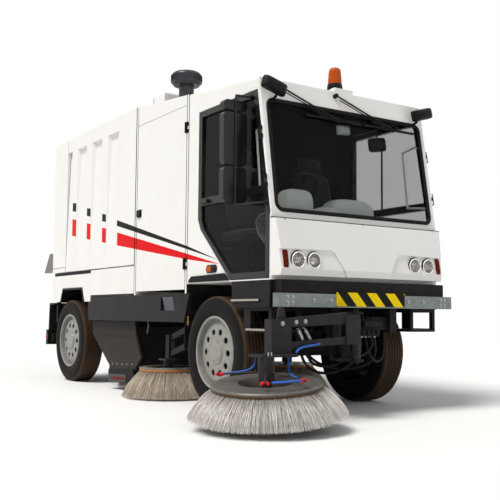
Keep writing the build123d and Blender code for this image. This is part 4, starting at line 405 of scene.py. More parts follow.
# %% Dress the CAD nodes
DRESS = {
    "black_chassis_paint": "chassis_frame cab_underframe rear_guards",
    "cast_iron_painted": "front_axle rear_axle knuckle_right knuckle_left",
    "grey_cast_engine": "engine_block",
    "white_enamel_with_cab_inside_shade": "cab_shell",
    "white_enamel_with_film": "engine_module service_door_right service_door_left container",
    "white_enamel_nose_with_seam_shade": "nose_panel",
    "white_enamel_panel": "lower_panels",
    "white_enamel_tail_with_gusset_shade": "container_door",
    "tinted_window_glass": "windscreen door_glass_right door_glass_left",
    "galvanised_steel": "front_bumper",
    "warning_plate_enamel": "hazard_plate",
    "moulded_black_plastic": "work_lamps steering_wheel wiper_right wiper_middle rear_lamps",
    "painted_steel_intake": "intake_stack",
    "grey_green_cab_moulding": "dashboard",
    "charcoal_powder_coat": "side_skirts",
    "worn_chamber_sheet": "brush_chamber",
    "amber_lens": "front_lamps roof_beacon",
    "dark_seat_cloth": "seats",
    "door_frame_enamel": "cab_door_right cab_door_left",
    "arm_black_paint": "arm_carrier arm_beam_upper arm_beam_lower front_head side_link_upper_right "
                       "side_link_upper_left side_link_lower_right side_link_lower_left "
                       "side_head_right side_head_left tip_ram_barrel",
    "bright_chrome": "tip_ram_rod",
    "blue_hose_rubber": "arm_hoses",
    "silver_wheel_enamel": "rim_front_right rim_front_left rim_rear_right rim_rear_left",
    "tyre_side_rubber": "tyre_front_right tyre_front_left tyre_rear_right tyre_rear_left",
    "brush_plate_steel": "front_brush side_brush_right side_brush_left main_brush",
}
for finish_name, names in DRESS.items():
    for node in names.split():
        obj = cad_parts[node]
        obj.data.materials.clear()
        obj.data.materials.append(materials[finish_name])
print(len(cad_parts), "CAD nodes,", sum(len(v.split()) for v in DRESS.values()), "dressed")

# %% [markdown]
# New pieces are surfaces on a grid. The helpers below turn arrays of points into meshes: a grid's quads, a
# turned profile, a pipe along a path, and one small form repeated at many places.

# %% Surface helpers
def unit(v):
    """Vectors divided by their lengths."""
    v = np.asarray(v, float)
    return v / np.linalg.norm(v, axis=-1, keepdims=True)


def quads(rows, cols, round_rows=False, round_cols=False):
    """Corner numbers of a grid's quads (i, j), (i + 1, j), (i + 1, j + 1), (i, j + 1), wrapped where a
    side is round."""
    i, j = np.meshgrid(np.arange(rows - (not round_rows)), np.arange(cols - (not round_cols)),
                       indexing="ij")
    a, b = (i + 1) % rows, (j + 1) % cols
    return np.stack([i * cols + j, a * cols + j, a * cols + b, i * cols + b], -1).reshape(-1, 4)


def across(axis):
    """Two unit vectors square to each axis and to each other, right-handed with it."""
    axis = unit(axis)
    other = np.where(np.abs(axis[..., 2:3]) > 0.8, [0.0, 1.0, 0.0], [0.0, 0.0, 1.0])
    e1 = unit(np.cross(other, axis))
    return e1, np.cross(axis, e1)


def turned(profile, centre, axis, steps=48):
    """centre + height * axis + radius * (cos t * e1 + sin t * e2) for every (radius, height) of the
    profile."""
    profile = np.asarray(profile, float)
    axis = unit(axis)
    e1, e2 = across(axis)
    t = np.linspace(0, 2 * math.pi, steps, endpoint=False)[:, None, None]
    points = np.asarray(centre) + profile[:, 1, None] * axis + profile[:, 0,
            None] * (np.cos(t) * e1 + np.sin(t) * e2)
    return points.reshape(-1, 3), quads(steps, len(profile), True)


def pipe(path, radius, sides=10, closed=False):
    """Circles of the given radius square to the path; the ends are drawn in to a point."""
    path = np.asarray(path, float)
    ahead = np.roll(path, -1, 0) - np.roll(path, 1, 0) if closed else np.gradient(path, axis=0)
    if not closed:
        path = np.vstack([path[:1], path, path[-1:]])
        ahead = np.vstack([ahead[:1], ahead, ahead[-1:]])
    e1, e2 = across(ahead)
    size = np.full(len(path), radius)
    if not closed:
        size[[0, -1]] = 1e-5
    t = np.linspace(0, 2 * math.pi, sides, endpoint=False)[None, :, None]
    points = path[:, None] + size[:, None, None] * (np.cos(t) * e1[:, None] + np.sin(t) * e2[:, None])
    faces = quads(len(path), sides, closed, True)
    return points.reshape(-1, 3), faces[:, ::-1]


def copies(form, places, normals, scale=1.0):
    """The form, drawn with its z axis up, moved to each place with z along that place's normal."""
    points, faces = form
    normals = unit(np.broadcast_to(normals, np.shape(places)))
    e1, e2 = across(normals)
    basis = np.stack([e1, e2, normals], 1)
    moved = np.asarray(places)[:, None] + scale * np.einsum("vk,nkd->nvd", points, basis)
    offset = (np.arange(len(places)) * len(points))[:, None, None]
    return moved.reshape(-1, 3), (faces[None] + offset).reshape(-1, 4)


def gather(*forms):
    """Several point and face arrays as one."""
    points, faces, start = [], [], 0
    for p, f in forms:
        points.append(p)
        faces.append(f + start)
        start += len(p)
    return np.vstack(points), np.vstack(faces)


def slab(outline, origin, u, v, thick):
    """Outline (a, b) at origin + a * u + b * v, carried by thick along u x v; both faces are fans about
    the middle."""
    outline = np.asarray(outline, float)
    u, v = unit(u), unit(v)
    w = np.cross(u, v)
    middle = outline.mean(0)
    rings = np.stack([middle + 0 * outline, outline, outline, middle + 0 * outline])
    lift = np.array([0.0, 0.0, thick, thick])
    points = np.asarray(origin) + rings[..., :1] * u + rings[..., 1:] * v + lift[:, None, None] * w
    return points.reshape(-1, 3), quads(4, len(outline), False, True)[:, ::-1]


def strip(outer, inner, x0, x1):
    """The band between two paths (y, z) of equal length, from x0 to x1, closed at both ends."""
    paths = [np.c_[np.full(len(p), x), np.asarray(p, float)] for p,
             x in ((outer, x0), (outer, x1), (inner, x1), (inner, x0))]
    points = np.stack(paths, 1)
    last = 4 * len(points) - 4
    ends = np.array([[3, 2, 1, 0], [last, last + 1, last + 2, last + 3]])
    return points.reshape(-1, 3), np.vstack([quads(len(points), 4, False, True), ends])


def coil(start, end, radius, wire, rounds):
    """A wire along start + s * (end - start) + radius * (cos t, sin t), t = 2 pi * rounds * s."""
    start, end = np.asarray(start, float), np.asarray(end, float)
    s = np.linspace(0, 1, int(rounds * 14))[:, None]
    e1, e2 = across(end - start)
    t = 2 * math.pi * rounds * s
    return pipe(start + s * (end - start) + radius * (np.cos(t) * e1 + np.sin(t) * e2), wire, 6)


def brick(low, high):
    """A box as a four-cornered slab between two corners."""
    low, high = np.asarray(low, float), np.asarray(high, float)
    size = high - low
    corners = [(0, 0), (size[0], 0), (size[0], size[1]), (0, size[1])]
    return slab(corners, low, (1, 0, 0), (0, 1, 0), size[2])


def piece(name, form, finish_name, body, slot, smooth=35.0, bevel=0.0, weld=True):
    """Makes the mesh, welds poles and seams, turns the faces outwards, and fixes the piece to its body."""
    points, faces = form
    mesh = bpy.data.meshes.new(name)
    mesh.from_pydata(np.asarray(points).tolist(), [], np.asarray(faces).tolist())
    if weld:
        work = bmesh.new()
        work.from_mesh(mesh)
        bmesh.ops.remove_doubles(work, verts=work.verts, dist=2e-5)
        bmesh.ops.dissolve_degenerate(work, edges=work.edges, dist=1e-6)
        bmesh.ops.recalc_face_normals(work, faces=work.faces)
        work.to_mesh(mesh)
        work.free()
    mesh.shade_smooth()
    obj = bpy.data.objects.new(name, mesh)
    scene.collection.objects.link(obj)
    mesh.materials.append(materials[finish_name])
    if weld and smooth:
        mesh.set_sharp_from_angle(angle=math.radians(smooth))
    if bevel:
        edge = obj.modifiers.new("worn_edge", "BEVEL")
        edge.width = bevel
        edge.segments = 2
        edge.limit_method = "ANGLE"
        edge.harden_normals = False
    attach(obj, body)
    print(name, len(mesh.vertices), "points on", body)
    return obj


# %% [markdown]
# A bolt head is a hexagon on a washer. One is drawn once and set in rows, with its axis along the face it
# sits on.

# %% Bolts
def bolt(size):
    """Hexagon head of that width and a washer under it, standing on z = 0."""
    head = turned([(0, 0), (size * 0.58, 0), (size * 0.58, size * 0.5), (size * 0.45, size * 0.6),
                   (0, size * 0.6)], ORIGIN, UP, 6)
    washer = turned([(0, 0), (size * 0.95, 0), (size * 0.95, size * 0.14), (0, size * 0.14)], ORIGIN, UP,
                    14)
    return gather(washer, head)


def bolts(name, size, places, normals, body, slot="zinc", finish_name="zinc_plated_bolt"):
    """One piece with a bolt at every place."""
    return piece(name, copies(bolt(size), np.array(places, float), normals), finish_name, body, slot,
                 smooth=30)


# %% [markdown]
# ## Tyres
# A road tyre has smooth shoulders with a few rings and a tread cut by grooves that run round it in a
# zigzag. The surface is a turned section, but the four corner lines of each groove swing sideways with a
# triangle wave: 60 waves round the tyre, 5 mm to each side. So the groove walls stay sharp with few faces.

# %% Tread rubber
def tread_dust(tree, place, tint):
    """Brown road dust where the radius from the wheel's axle is over 0.43, by distance in the y-z plane."""
    axes = parts_of(tree, place)
    rear = maths(tree, "GREATER_THAN", axes["Y"], 1.6)
    y = maths(tree, "MULTIPLY_ADD", rear, -WHEELBASE, axes["Y"])
    z = maths(tree, "ADD", axes["Z"], -AXLE_Z)
    flat = add(tree, "CombineXYZ", {"X": y, "Y": z}).outputs[0]
    radius = add(tree, "VectorMath", {0: flat}, operation="LENGTH").outputs["Value"]
    crown = add(tree, "MapRange", {"Value": radius, "From Min": 0.436, "From Max": 0.452,
                                   "To Max": 0.75}).outputs[0]
    return blend(tree, crown, tint, "#4A3A2C")


finish("rolled_tyre_rubber", "#0D0C0B", 0.6, cloud="#1B1815", mottle=0.6, cloud_mm=55, grain_mm=2.5,
       overlay=tread_dust)

# %% Tyre surfaces
WAVES, STEPS = 60, 240
GROOVES = (-0.062, -0.031, 0.0, 0.031, 0.062)


def tyre_form(side, y):
    """Section columns from bead to bead; crown columns shift by swing * triangle(WAVES * t)."""
    wall = [(0.2853, -0.109), (0.303, -0.109), (0.316, -0.118), (0.345, -0.1235), (0.367, -0.125),
            (0.371, -0.1225),
            (0.378, -0.1245), (0.404, -0.122), (0.425, -0.1165), (0.448, -0.109), (0.4585, -0.1),
            (0.4598, -0.094)]
    radius = [r for r, x in wall]
    place = [x for r, x in wall]
    swing = [0.0] * len(wall)
    for middle in GROOVES:
        for dx, r in ((-0.0052, 0.4598), (-0.0034, 0.448), (0.0034, 0.448), (0.0052, 0.4598)):
            radius.append(r)
            place.append(middle + dx)
            swing.append(0.0045)
    radius += [r for r, x in wall[::-1]]
    place += [-x for r, x in wall[::-1]]
    swing += [0.0] * len(wall)
    radius, place, swing = map(np.array, (radius, place, swing))
    t = np.arange(STEPS) / STEPS
    wave = 4 * np.abs((t * WAVES) % 1 - 0.5) - 1
    x = side * (0.721 + place[None] + swing[None] * wave[:, None])
    angle = 2 * math.pi * t[:, None]
    points = np.stack([x, y + radius * np.cos(angle), AXLE_Z + radius * np.sin(angle)], -1)
    return points.reshape(-1, 3), quads(STEPS, len(radius), True, True)


for end, y in AXLES:
    for hand, side in SIDES:
        obj = piece(f"treaded_tyre_{end}_{hand}", tyre_form(side, y), "rolled_tyre_rubber",
                    f"wheel_{end}_{hand}", "tyre_rubber")
        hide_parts(f"tyre_{end}_{hand}")

# %% [markdown]
# ## Brushes
# A cup brush is a steel plate with bundles of polypropylene bristle in a ring under its edge. Each strand
# here is a thin three-sided taper from a random root on the ring to a random tip on the wear circle. A
# strand's UV map holds a random tone in u and the way along it in v, so that one material can vary them
# and paint shade on the roots, darker where they crowd under the plate.

# %% Bristle material
def strand_shade(low, high, root):
    """Colour from low to high by the strand's own number (u), mixed near v = 0 to the darker root colour:
    painted shade under the plate.
    """
    def paint(tree, place, tint):
        uv = add(tree, "UVMap", uv_map="strand").outputs[0]
        axes = parts_of(tree, uv)
        own = add(tree, "Mix", {0: axes["X"], 6: linear(low), 7: linear(high)}, data_type="RGBA").outputs[2]
        # Darker towards the root: painted shade under the plate.
        near = add(tree, "MapRange", {"Value": axes["Y"], "From Max": 0.45, "To Min": 0.85,
                                      "To Max": 0.0}).outputs[0]
        return blend(tree, near, own, root)
    return paint


finish("grey_polypropylene_bristle", "#D5D0CB", 0.6, overlay=strand_shade("#B9B3AE", "#FFFCF8", "#8F8883"))
finish("tan_polypropylene_bristle", "#C2B5A4", 0.6, overlay=strand_shade("#A39583", "#F2E7D6", "#7E7263"))
finish("steel_and_nylon_bristle", "#8C8176", 0.6, overlay=strand_shade("#4E463E", "#958A7E", "#332D28"))


# %% Bristle surfaces
def strands(name, roots, tips, bow, thick, finish_name, body, slot):
    """Each strand: centre(s) = root + s * (tip - root) + 4 s (1 - s) * bow, three sides, thickness
    falling with s."""
    s = np.array([0.0, 0.33, 0.67, 1.0])
    n = len(roots)
    centre = roots[:, None] + s[None, :, None] * (tips - roots)[:, None] + (4 * s * (1 - s))[None, :,
            None] * bow[:, None]
    e1, e2 = across(tips - roots)
    radius = thick * np.array([1.0, 0.9, 0.75, 0.4])
    t = np.arange(3) * 2 * math.pi / 3
    ring = np.cos(t)[None, None, :, None] * e1[:, None, None] + np.sin(t)[None, None, :, None] * e2[:, None,
            None]
    points = centre[:, :, None] + radius[None, :, None, None] * ring
    faces = quads(4, 3, False, True)[:, ::-1]
    faces = (faces[None] + (np.arange(n) * 12)[:, None, None]).reshape(-1, 4)
    obj = piece(name, (points.reshape(-1, 3), faces), finish_name, body, slot, weld=False)
    shade = np.repeat(rng.random(n), 12)
    along = np.tile(np.repeat(s, 3), n)
    layer = obj.data.uv_layers.new(name="strand")
    corner = np.empty(len(obj.data.loops), int)
    obj.data.loops.foreach_get("vertex_index", corner)
    layer.data.foreach_set("uv", np.stack([shade[corner], along[corner]], -1).ravel())
    return obj


def cup_strands(name, centre, axis, count, root_r, root_h, tip_r, body, finish_name, slot, thick=0.0016):
    """Roots on a ring between two radii, tips on the wear circle, both turned about the brush axis."""
    axis = unit(axis)
    e1, e2 = across(axis)
    bundle = rng.integers(0, count // 26, count) / (count // 26) * 2 * math.pi
    layer = rng.random(count)
    root_t = bundle + rng.normal(0, 0.016, count)
    tip_t = bundle + rng.normal(0, 0.034, count)
    rr = root_r[0] + (root_r[1] - root_r[0]) * layer
    tr = tip_r[0] + (tip_r[1] - tip_r[0]) * np.clip(layer + rng.normal(0, 0.12, count), 0, 1)
    lift = np.abs(rng.normal(0, 0.006, count))
    out_root = np.cos(root_t)[:, None] * e1 + np.sin(root_t)[:, None] * e2
    out_tip = np.cos(tip_t)[:, None] * e1 + np.sin(tip_t)[:, None] * e2
    roots = centre + rr[:, None] * out_root + root_h * axis
    tips = centre + tr[:, None] * out_tip + lift[:, None] * axis
    bow = 0.01 * (out_root + axis)
    return strands(name, roots, tips, bow, thick, finish_name, body, slot)


# %% Front brush
lean, head = math.radians(6.5), math.radians(36)
brush_axis = np.array([-math.cos(head) * math.sin(lean), -math.sin(head) * math.sin(lean), math.cos(lean)])
FRONT_WEAR, FRONT_HOVER, SIDE_HOVER = 0.545, 0.04, 0.012  # wear circle of the front brush, gaps to the floor
brush_foot = np.array([-1.1, -1.16, FRONT_HOVER + FRONT_WEAR * math.sin(lean)])
plate = turned([(0.0, 0.15), (0.186, 0.15), (0.19, 0.206), (0.196, 0.2205), (0.3, 0.2215), (0.372, 0.2165),
                (0.379, 0.209),
                (0.379, 0.201), (0.3, 0.196), (0.15, 0.14), (0.0, 0.14)][::-1], brush_foot, brush_axis, 96)
plate_obj = piece("front_brush_plate", plate, "brush_plate_steel", "front_brush", "brush_front")
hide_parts("front_brush")
rim = turned([(0.3, 0.199), (0.379, 0.201), (0.382, 0.197), (0.38, 0.186), (0.365, 0.18),
              (0.3, 0.178)][::-1], brush_foot, brush_axis, 96)
piece("front_brush_rim", rim, "brown_rim_wood", "front_brush", "brush_front")
flange = turned([(0.0, 0.15), (0.075, 0.15), (0.075, 0.176), (0.06, 0.182), (0.034, 0.184), (0.034, 0.2262),
                 (0.0, 0.2262)],
                brush_foot, brush_axis, 32)
piece("front_brush_hub", flange, "arm_black_paint", "front_brush", "brush_front")
# Black cone inside the bristle ring: painted shade, a dark solid where the inside of the brush lies in
# shade.
painted_shade_core = turned([(0.2, 0.178), (0.3, 0.181), (0.352, 0.15), (0.445, 0.05), (0.43, 0.045), (0.29, 0.15),
               (0.2, 0.17)][::-1],
              brush_foot, brush_axis, 64)
piece("front_brush_painted_shade_cone", painted_shade_core, "tyre_side_rubber", "front_brush", "brush_front")
cup_strands("front_brush_bristles", brush_foot, brush_axis, 6500, (0.312, 0.374), 0.186,
            (0.455, FRONT_WEAR), "front_brush",
            "grey_polypropylene_bristle", "brush_front")

# %% Side brushes
SIDE_BRUSH_RINGS = (
    ("plate", "arm_black_paint", 72, [(0.0, 0.232), (0.2, 0.256), (0.268, 0.258), (0.268, 0.264),
                                      (0.2, 0.268), (0.15, 0.262), (0.145, 0.24), (0.0, 0.238)]),
    ("steel_rim", "galvanised_steel", 72, [(0.262, 0.254), (0.2735, 0.254), (0.275, 0.258), (0.274, 0.27),
                                           (0.266, 0.271), (0.262, 0.266)]),
    ("band", "orange_band_plastic", 72, [(0.2, 0.24), (0.268, 0.236), (0.2725, 0.24), (0.2725, 0.253),
                                         (0.2, 0.253)]),
    ("top_ring", "tan_moulding", 72, [(0.214, 0.269), (0.256, 0.2672), (0.256, 0.2645), (0.214, 0.2662)]),
    ("hub", "arm_black_paint", 28, [(0.0, 0.236), (0.07, 0.24), (0.07, 0.262), (0.03, 0.266),
                                    (0.03, 0.2776), (0.0, 0.2776)]),
    # The black cone inside the bristles is painted shade.
    ("painted_shade_cone", "tyre_side_rubber", 48, [(0.15, 0.226), (0.2, 0.2), (0.34, 0.055), (0.355, 0.06),
                                                (0.262, 0.2), (0.235, 0.238), (0.15, 0.236)]))
for hand, side in SIDES:
    foot = np.array([side * 0.68, 1.085, SIDE_HOVER])
    body = "side_brush_" + hand
    for part, finish_name, steps, profile in SIDE_BRUSH_RINGS:
        obj = piece(f"side_brush_{part}_{hand}", turned(profile, foot, UP, steps), finish_name, body,
                    "brush_side")
        if part == "plate":
            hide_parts(body)
    cup_strands(f"side_brush_bristles_{hand}", foot, np.array(UP, float), 4600, (0.215, 0.266), 0.238,
                (0.345, 0.438), body, "tan_polypropylene_bristle", "brush_side", 0.0017)

# %% [markdown]
# The cylindrical brush between the axles is a tube with rows of bristle wound on it as a screw.

# %% Cylindrical brush
middle = np.array([0.0, 2.11, 0.312])
tube = turned([(0.0, -0.779), (0.045, -0.779), (0.045, -0.735), (0.125, -0.735), (0.125, 0.735),
               (0.045, 0.735), (0.045, 0.779), (0.0, 0.779)],
              middle, (1, 0, 0), 36)
obj = piece("cylinder_brush_tube", tube, "arm_black_paint", "main_brush", "brush_main")
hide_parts("main_brush")
count = 5200
x = rng.uniform(-0.728, 0.728, count)
row = rng.integers(0, 8, count)
turn = row * math.pi / 4 + x * 2.2 + rng.normal(0, 0.03, count)
spread = turn + rng.normal(0, 0.05, count)
out = np.stack([0 * x, np.cos(turn), np.sin(turn)], -1)
out_tip = np.stack([0 * x, np.cos(spread), np.sin(spread)], -1)
axle = middle + x[:, None] * np.array([1.0, 0, 0])
tip_radius = 0.299 - np.abs(rng.normal(0, 0.004, count))[:, None]
strands("cylinder_brush_bristles", axle + 0.122 * out, axle + tip_radius * out_tip, 0.004 * out, 0.0022,
        "steel_and_nylon_bristle", "main_brush", "brush_main")

# %% [markdown]
# ## Windscreen seal
# A rubber band hides the edge of the windscreen pane. Its path is a rounded rectangle in the plane of the
# windscreen, which leans back by 9.1 degrees, and its section is a low arch.

# %% Screen plane
LEAN = math.atan(175 / 1092)
SCREEN_OUT = np.array([0.0, -math.cos(LEAN), math.sin(LEAN)])
SCREEN_UP = np.array([0.0, math.sin(LEAN), math.cos(LEAN)])


def on_screen(x, z, out=0.0):
    """Point of the cab's front plane at that x and height, moved outwards."""
    y = SCREEN_TOP_Y - SCREEN_SLOPE * (SCREEN_TOP_Z - np.asarray(z, float))
    flat = np.stack(np.broadcast_arrays(np.asarray(x, float), y, np.asarray(z, float)), -1)
    return flat + out * SCREEN_OUT


def rounded(half_x, low, high, radius, steps=8):
    """Corner arcs of a rounded rectangle, centred on x = 0, anticlockwise."""
    t = np.linspace(0, math.pi / 2, steps)
    arcs = []
    for k, (cx, cz) in enumerate([(half_x - radius, high - radius), (-half_x + radius, high - radius),
                                  (-half_x + radius, low + radius), (half_x - radius, low + radius)]):
        a = t + k * math.pi / 2
        arcs.append(np.stack([cx + radius * np.cos(a), cz + radius * np.sin(a)], -1))
    return np.vstack(arcs)


def band(path_out, path_in, height, lift):
    """Low arch between an outer and an inner loop: four columns, the middle two raised by the height."""
    cols = np.stack([path_out, 0.8 * path_out + 0.2 * path_in, 0.25 * path_out + 0.75 * path_in, path_in],
                    1)
    rise = lift + np.array([0.0, height, height, 0.0])
    return cols, rise


cols, rise = band(rounded(0.812, 1.538, 2.437, 0.072), rounded(0.779, 1.571, 2.404, 0.042), 0.008, 0.0005)
points = on_screen(cols[..., 0], cols[..., 1]) + rise[None, :, None] * SCREEN_OUT
inner = on_screen(cols[:, -1:, 0], cols[:, -1:, 1], -0.0098)
points = np.concatenate([points, inner], 1)
piece("windscreen_seal", (points.reshape(-1, 3), quads(points.shape[0], 5, True)), "seal_rubber", "chassis",
      "black_plastic")

# %% [markdown]
# ## Lamps
# Each headlamp has a black ring round it, painted shadow in the gap at the bezel's edge, a chrome bezel, a
# mirror bowl with a bulb, and a slightly domed clear glass. The indicators are tall ribbed lenses in dark
# red, and an amber repeater with a black rim sits above each front wheel.

# %% Headlamps
LAMP_PLACES = np.array([(side * x, -0.9093, 1.178) for side in (-1, 1) for x in (0.518, 0.668)])
bezel = turned([(0.05, 0.0), (0.06, 0.002), (0.0635, 0.008), (0.0625, 0.013), (0.057, 0.016),
                (0.0525, 0.013), (0.051, 0.006)], ORIGIN, UP, 40)
bowl = turned([(0.0, -0.04), (0.014, -0.0385), (0.03, -0.03), (0.043, -0.015), (0.0515, 0.004)], ORIGIN, UP,
              40)
glass = turned([(0.0, 0.0165), (0.02, 0.0158), (0.038, 0.0135), (0.0515, 0.009), (0.0515, 0.006),
                (0.038, 0.0105), (0.02, 0.0128), (0.0, 0.0135)][::-1],
               (0, 0, 0), UP, 40)
bulb = turned([(0.0, -0.03), (0.007, -0.028), (0.008, -0.014), (0.005, -0.008), (0.0, -0.007)], ORIGIN, UP,
              14)
shadow_ring = turned([(0.061, 0.0), (0.0685, 0.0), (0.0695, 0.004), (0.067, 0.007), (0.061, 0.007)], ORIGIN, UP,
                40)
# The black ring round each headlamp is painted shadow in the gap at the bezel's edge.
piece("headlamp_shadow_rings", copies(shadow_ring, LAMP_PLACES, FORWARD), "seal_rubber", "chassis", "black_plastic")
lamp_bezels = piece("headlamp_bezels", copies(bezel, LAMP_PLACES, FORWARD), "bright_chrome", "chassis",
                    "lamp_chrome")
piece("headlamp_bowls", copies(bowl, LAMP_PLACES, FORWARD), "lamp_reflector", "chassis", "lamp_chrome")
piece("headlamp_bulbs", copies(bulb, LAMP_PLACES, FORWARD), "warm_bulb_glass", "chassis", "lamp_chrome")
piece("headlamp_glasses", copies(glass, LAMP_PLACES, FORWARD), "clear_lamp_glass", "chassis", "lamp_chrome")
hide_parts("front_lamps")


# %% Indicators and repeaters
def ribbed_lens(low, high, face, out, ribs, axis):
    """Depth of the lens = face + out * (0.78 + 0.22 |sin|) across the ribs, falling to the face at its
    rim."""
    a = np.linspace(0, 1, ribs * 4 + 1)
    b = np.linspace(0, 1, 9)
    rib = 0.78 + 0.22 * np.abs(np.sin(a * ribs * math.pi))
    edge = np.minimum(1, 12 * np.minimum(b, 1 - b)) * np.minimum(1, 40 * np.minimum(a, 1 - a))[:, None]
    depth = face(b) + out * rib[:, None] * edge
    u = low[0] + (high[0] - low[0]) * a[:, None] + 0 * b
    z = low[1] + (high[1] - low[1]) * b[None] + 0 * a[:, None]
    grid = np.stack([u, depth, z] if axis == "y" else [depth, u, z], -1)
    return grid.reshape(-1, 3), quads(len(a), len(b))


for hand, side in SIDES:
    z0, z1 = 1.118, 1.25
    lens = ribbed_lens((side * 0.781 - 0.022, z0), (side * 0.781 + 0.022, z1),
                       lambda b: -0.9212 + 0.0227 * b, -0.013, 3, "y")
    piece(f"indicator_{hand}", lens, "red_lens", "chassis", "lamp_chrome")
    u = (0, side, 0)
    oval = rounded(0.088, -0.033, 0.033, 0.032)
    piece(f"repeater_rim_{hand}", slab(oval, (side * SKIN_X, 0.014, 1.143), u, UP, 0.006), *BLACK,
          bevel=0.002)
    wing = ribbed_lens((0.014, 1.119), (0.09, 1.167), lambda b: side * (0.8662 + 0 * b), side * 0.0065, 4,
                       "x")
    piece(f"side_repeater_{hand}", wing, "amber_lens", "chassis", "lamp_chrome")
    cap = turned([(0.0, 0.006), (0.014, 0.005), (0.02, 0.002), (0.0215, 0.0)][::-1],
                 (side * 0.8662, -0.03, 1.143), (side, 0, 0), 28)
    piece(f"repeater_cap_{hand}", cap, *BLACK)

# %% [markdown]
# ## Roof beacon
# An amber dome with upright ribs on a black socket, on a white bracket box. Inside stands a small mirror.

# %% Beacon
BEACON = np.array([0.0, -0.52, 2.64])
t = np.linspace(0, 2 * math.pi, 96, endpoint=False)
h = np.array([0.0, 0.02, 0.05, 0.08, 0.11, 0.128, 0.139, 0.143])
r = np.array([0.0585, 0.058, 0.056, 0.0535, 0.0505, 0.046, 0.034, 0.0])
ripple = 1 + 0.012 * np.cos(24 * t)[:, None] * np.clip(r / 0.05, 0, 1)
shell = np.stack([r * ripple * np.cos(t)[:, None], r * ripple * np.sin(t)[:, None],
                  0.058 + h + 0 * t[:, None]], -1) + BEACON
dome_obj = piece("beacon_dome", (shell.reshape(-1, 3), quads(96, len(h), True)), "amber_lens", "chassis",
                 "amber_plastic")
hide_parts("roof_beacon")
piece("beacon_socket", turned([(0.0, 0.012), (0.064, 0.012), (0.066, 0.02), (0.063, 0.05), (0.06, 0.059),
                               (0.0, 0.06)], BEACON, UP, 48),
      "moulded_black_plastic", "chassis", "amber_plastic")
piece("beacon_bracket", brick((-0.058, -0.588, 2.604), (0.138, -0.452, 2.652)), "sprayed_white_enamel",
      "chassis", "amber_plastic", bevel=0.004)
piece("beacon_mirror", turned([(0.0, 0.062), (0.02, 0.062), (0.026, 0.09), (0.02, 0.13), (0.0, 0.14)],
                              BEACON, UP, 18),
      "bright_chrome", "chassis", "amber_plastic")

# %% [markdown]
# ## Fastenings
# Zinc bolts show on the bumper and on the arm; screws hold the nose panel along its
# seam.

# %% Bolts on the front
BUMPER_Y = -0.9658
spots = [(side * x, BUMPER_Y, z) for side in (-1, 1) for x, z in
         ((0.8, 0.86), (0.8, 0.902), (0.755, 0.86), (0.755, 0.902), (0.56, 0.881), (0.395, 0.881))]
bolts("bumper_bolts", 0.017, spots, FORWARD, "chassis")
spots = [(-0.97, -1.1431, 0.712), (-0.84, -1.1252, 0.722), (-0.76, -1.1252, 0.727)]
bolts("arm_bolts_outer", 0.017, spots[:1], FORWARD, "front_head", "arm_paint")
bolts("arm_bolts", 0.017, spots[1:], FORWARD, "arm_beam_upper", "arm_paint")
bolts("nose_screws", 0.008, [(x, -0.8735, 1.478) for x in (-0.76, 0.0, 0.76)], FORWARD, "chassis",
      "white_paint")

# %% [markdown]
# ## Spray nozzles
# Six red nozzles sit in pairs on the ends of the spray bars and point down at the bristles.

# %% Nozzles
NOZZLE_PLACES = np.array([(-1.352, -0.941, 0.366), (-1.312, -1.432, 0.337), (-1.067, -1.516, 0.354)])
SIDEWAYS = unit(np.array([(-0.4, 0.9, 0), (0.9, -0.35, 0), (0.9, 0.2, 0)]))
nozzle = turned([(0.0, -0.012), (0.0095, -0.012), (0.0115, -0.004), (0.0115, 0.006), (0.008, 0.01),
                 (0.004, 0.016), (0.0, 0.016)], ORIGIN, UP, 14)
places = np.vstack([NOZZLE_PLACES + 0.017 * SIDEWAYS, NOZZLE_PLACES - 0.017 * SIDEWAYS])
tilts = np.vstack([SIDEWAYS, -SIDEWAYS]) * 0.8 + np.array([0, 0, -0.6])
piece("spray_nozzles", copies(nozzle, places, tilts), "red_nozzle_plastic", "front_head", "hose_rubber")

# %% [markdown]
# ## Seats
# A driver's seat is foam under cloth. Each pad is two grids that meet at the rim: its half thickness falls
# to nothing there, swells by a crown towards the middle, and is drawn in along the sewn channels. The sides
# pull in between the corners.

# %% Seat pads
def pad(centre, u, v, half, crown, channels, n=33):
    """Half thickness = half[2] * ((1 - |a|^5) (1 - |b|^5))^0.4 * (1 + crown (1 - a^2)(1 - b^2)).

    Each channel takes 7 mm away.
    """
    u, v = unit(u), unit(v)
    g = np.sin(np.linspace(-1, 1, n) * math.pi / 2)
    a, b = np.meshgrid(g, g, indexing="ij")
    rim = (np.clip(1 - np.abs(a) ** 5, 0, 1) * np.clip(1 - np.abs(b) ** 5, 0, 1)) ** 0.4
    thick = half[2] * rim * (1 + crown * (1 - a ** 2) * (1 - b ** 2))
    corner = 1 - 0.09 * np.abs(a * b) ** 4
    x = half[0] * a * corner * (1 - 0.03 * (1 - b ** 2))
    y = half[1] * b * corner * (1 - 0.03 * (1 - a ** 2))
    groove = sum(0.007 * np.exp(-((a - c) * half[0] / 0.008) ** 2) for c in channels) * rim
    w = np.cross(u, v)
    spread = np.asarray(centre) + x[..., None] * u + y[..., None] * v
    top = spread + (thick - groove)[..., None] * w
    low = spread - 0.7 * thick[..., None] * w
    faces = quads(n, n)
    return np.vstack([top.reshape(-1, 3), low.reshape(-1, 3)]), np.vstack([faces, faces[:, ::-1] + n * n])


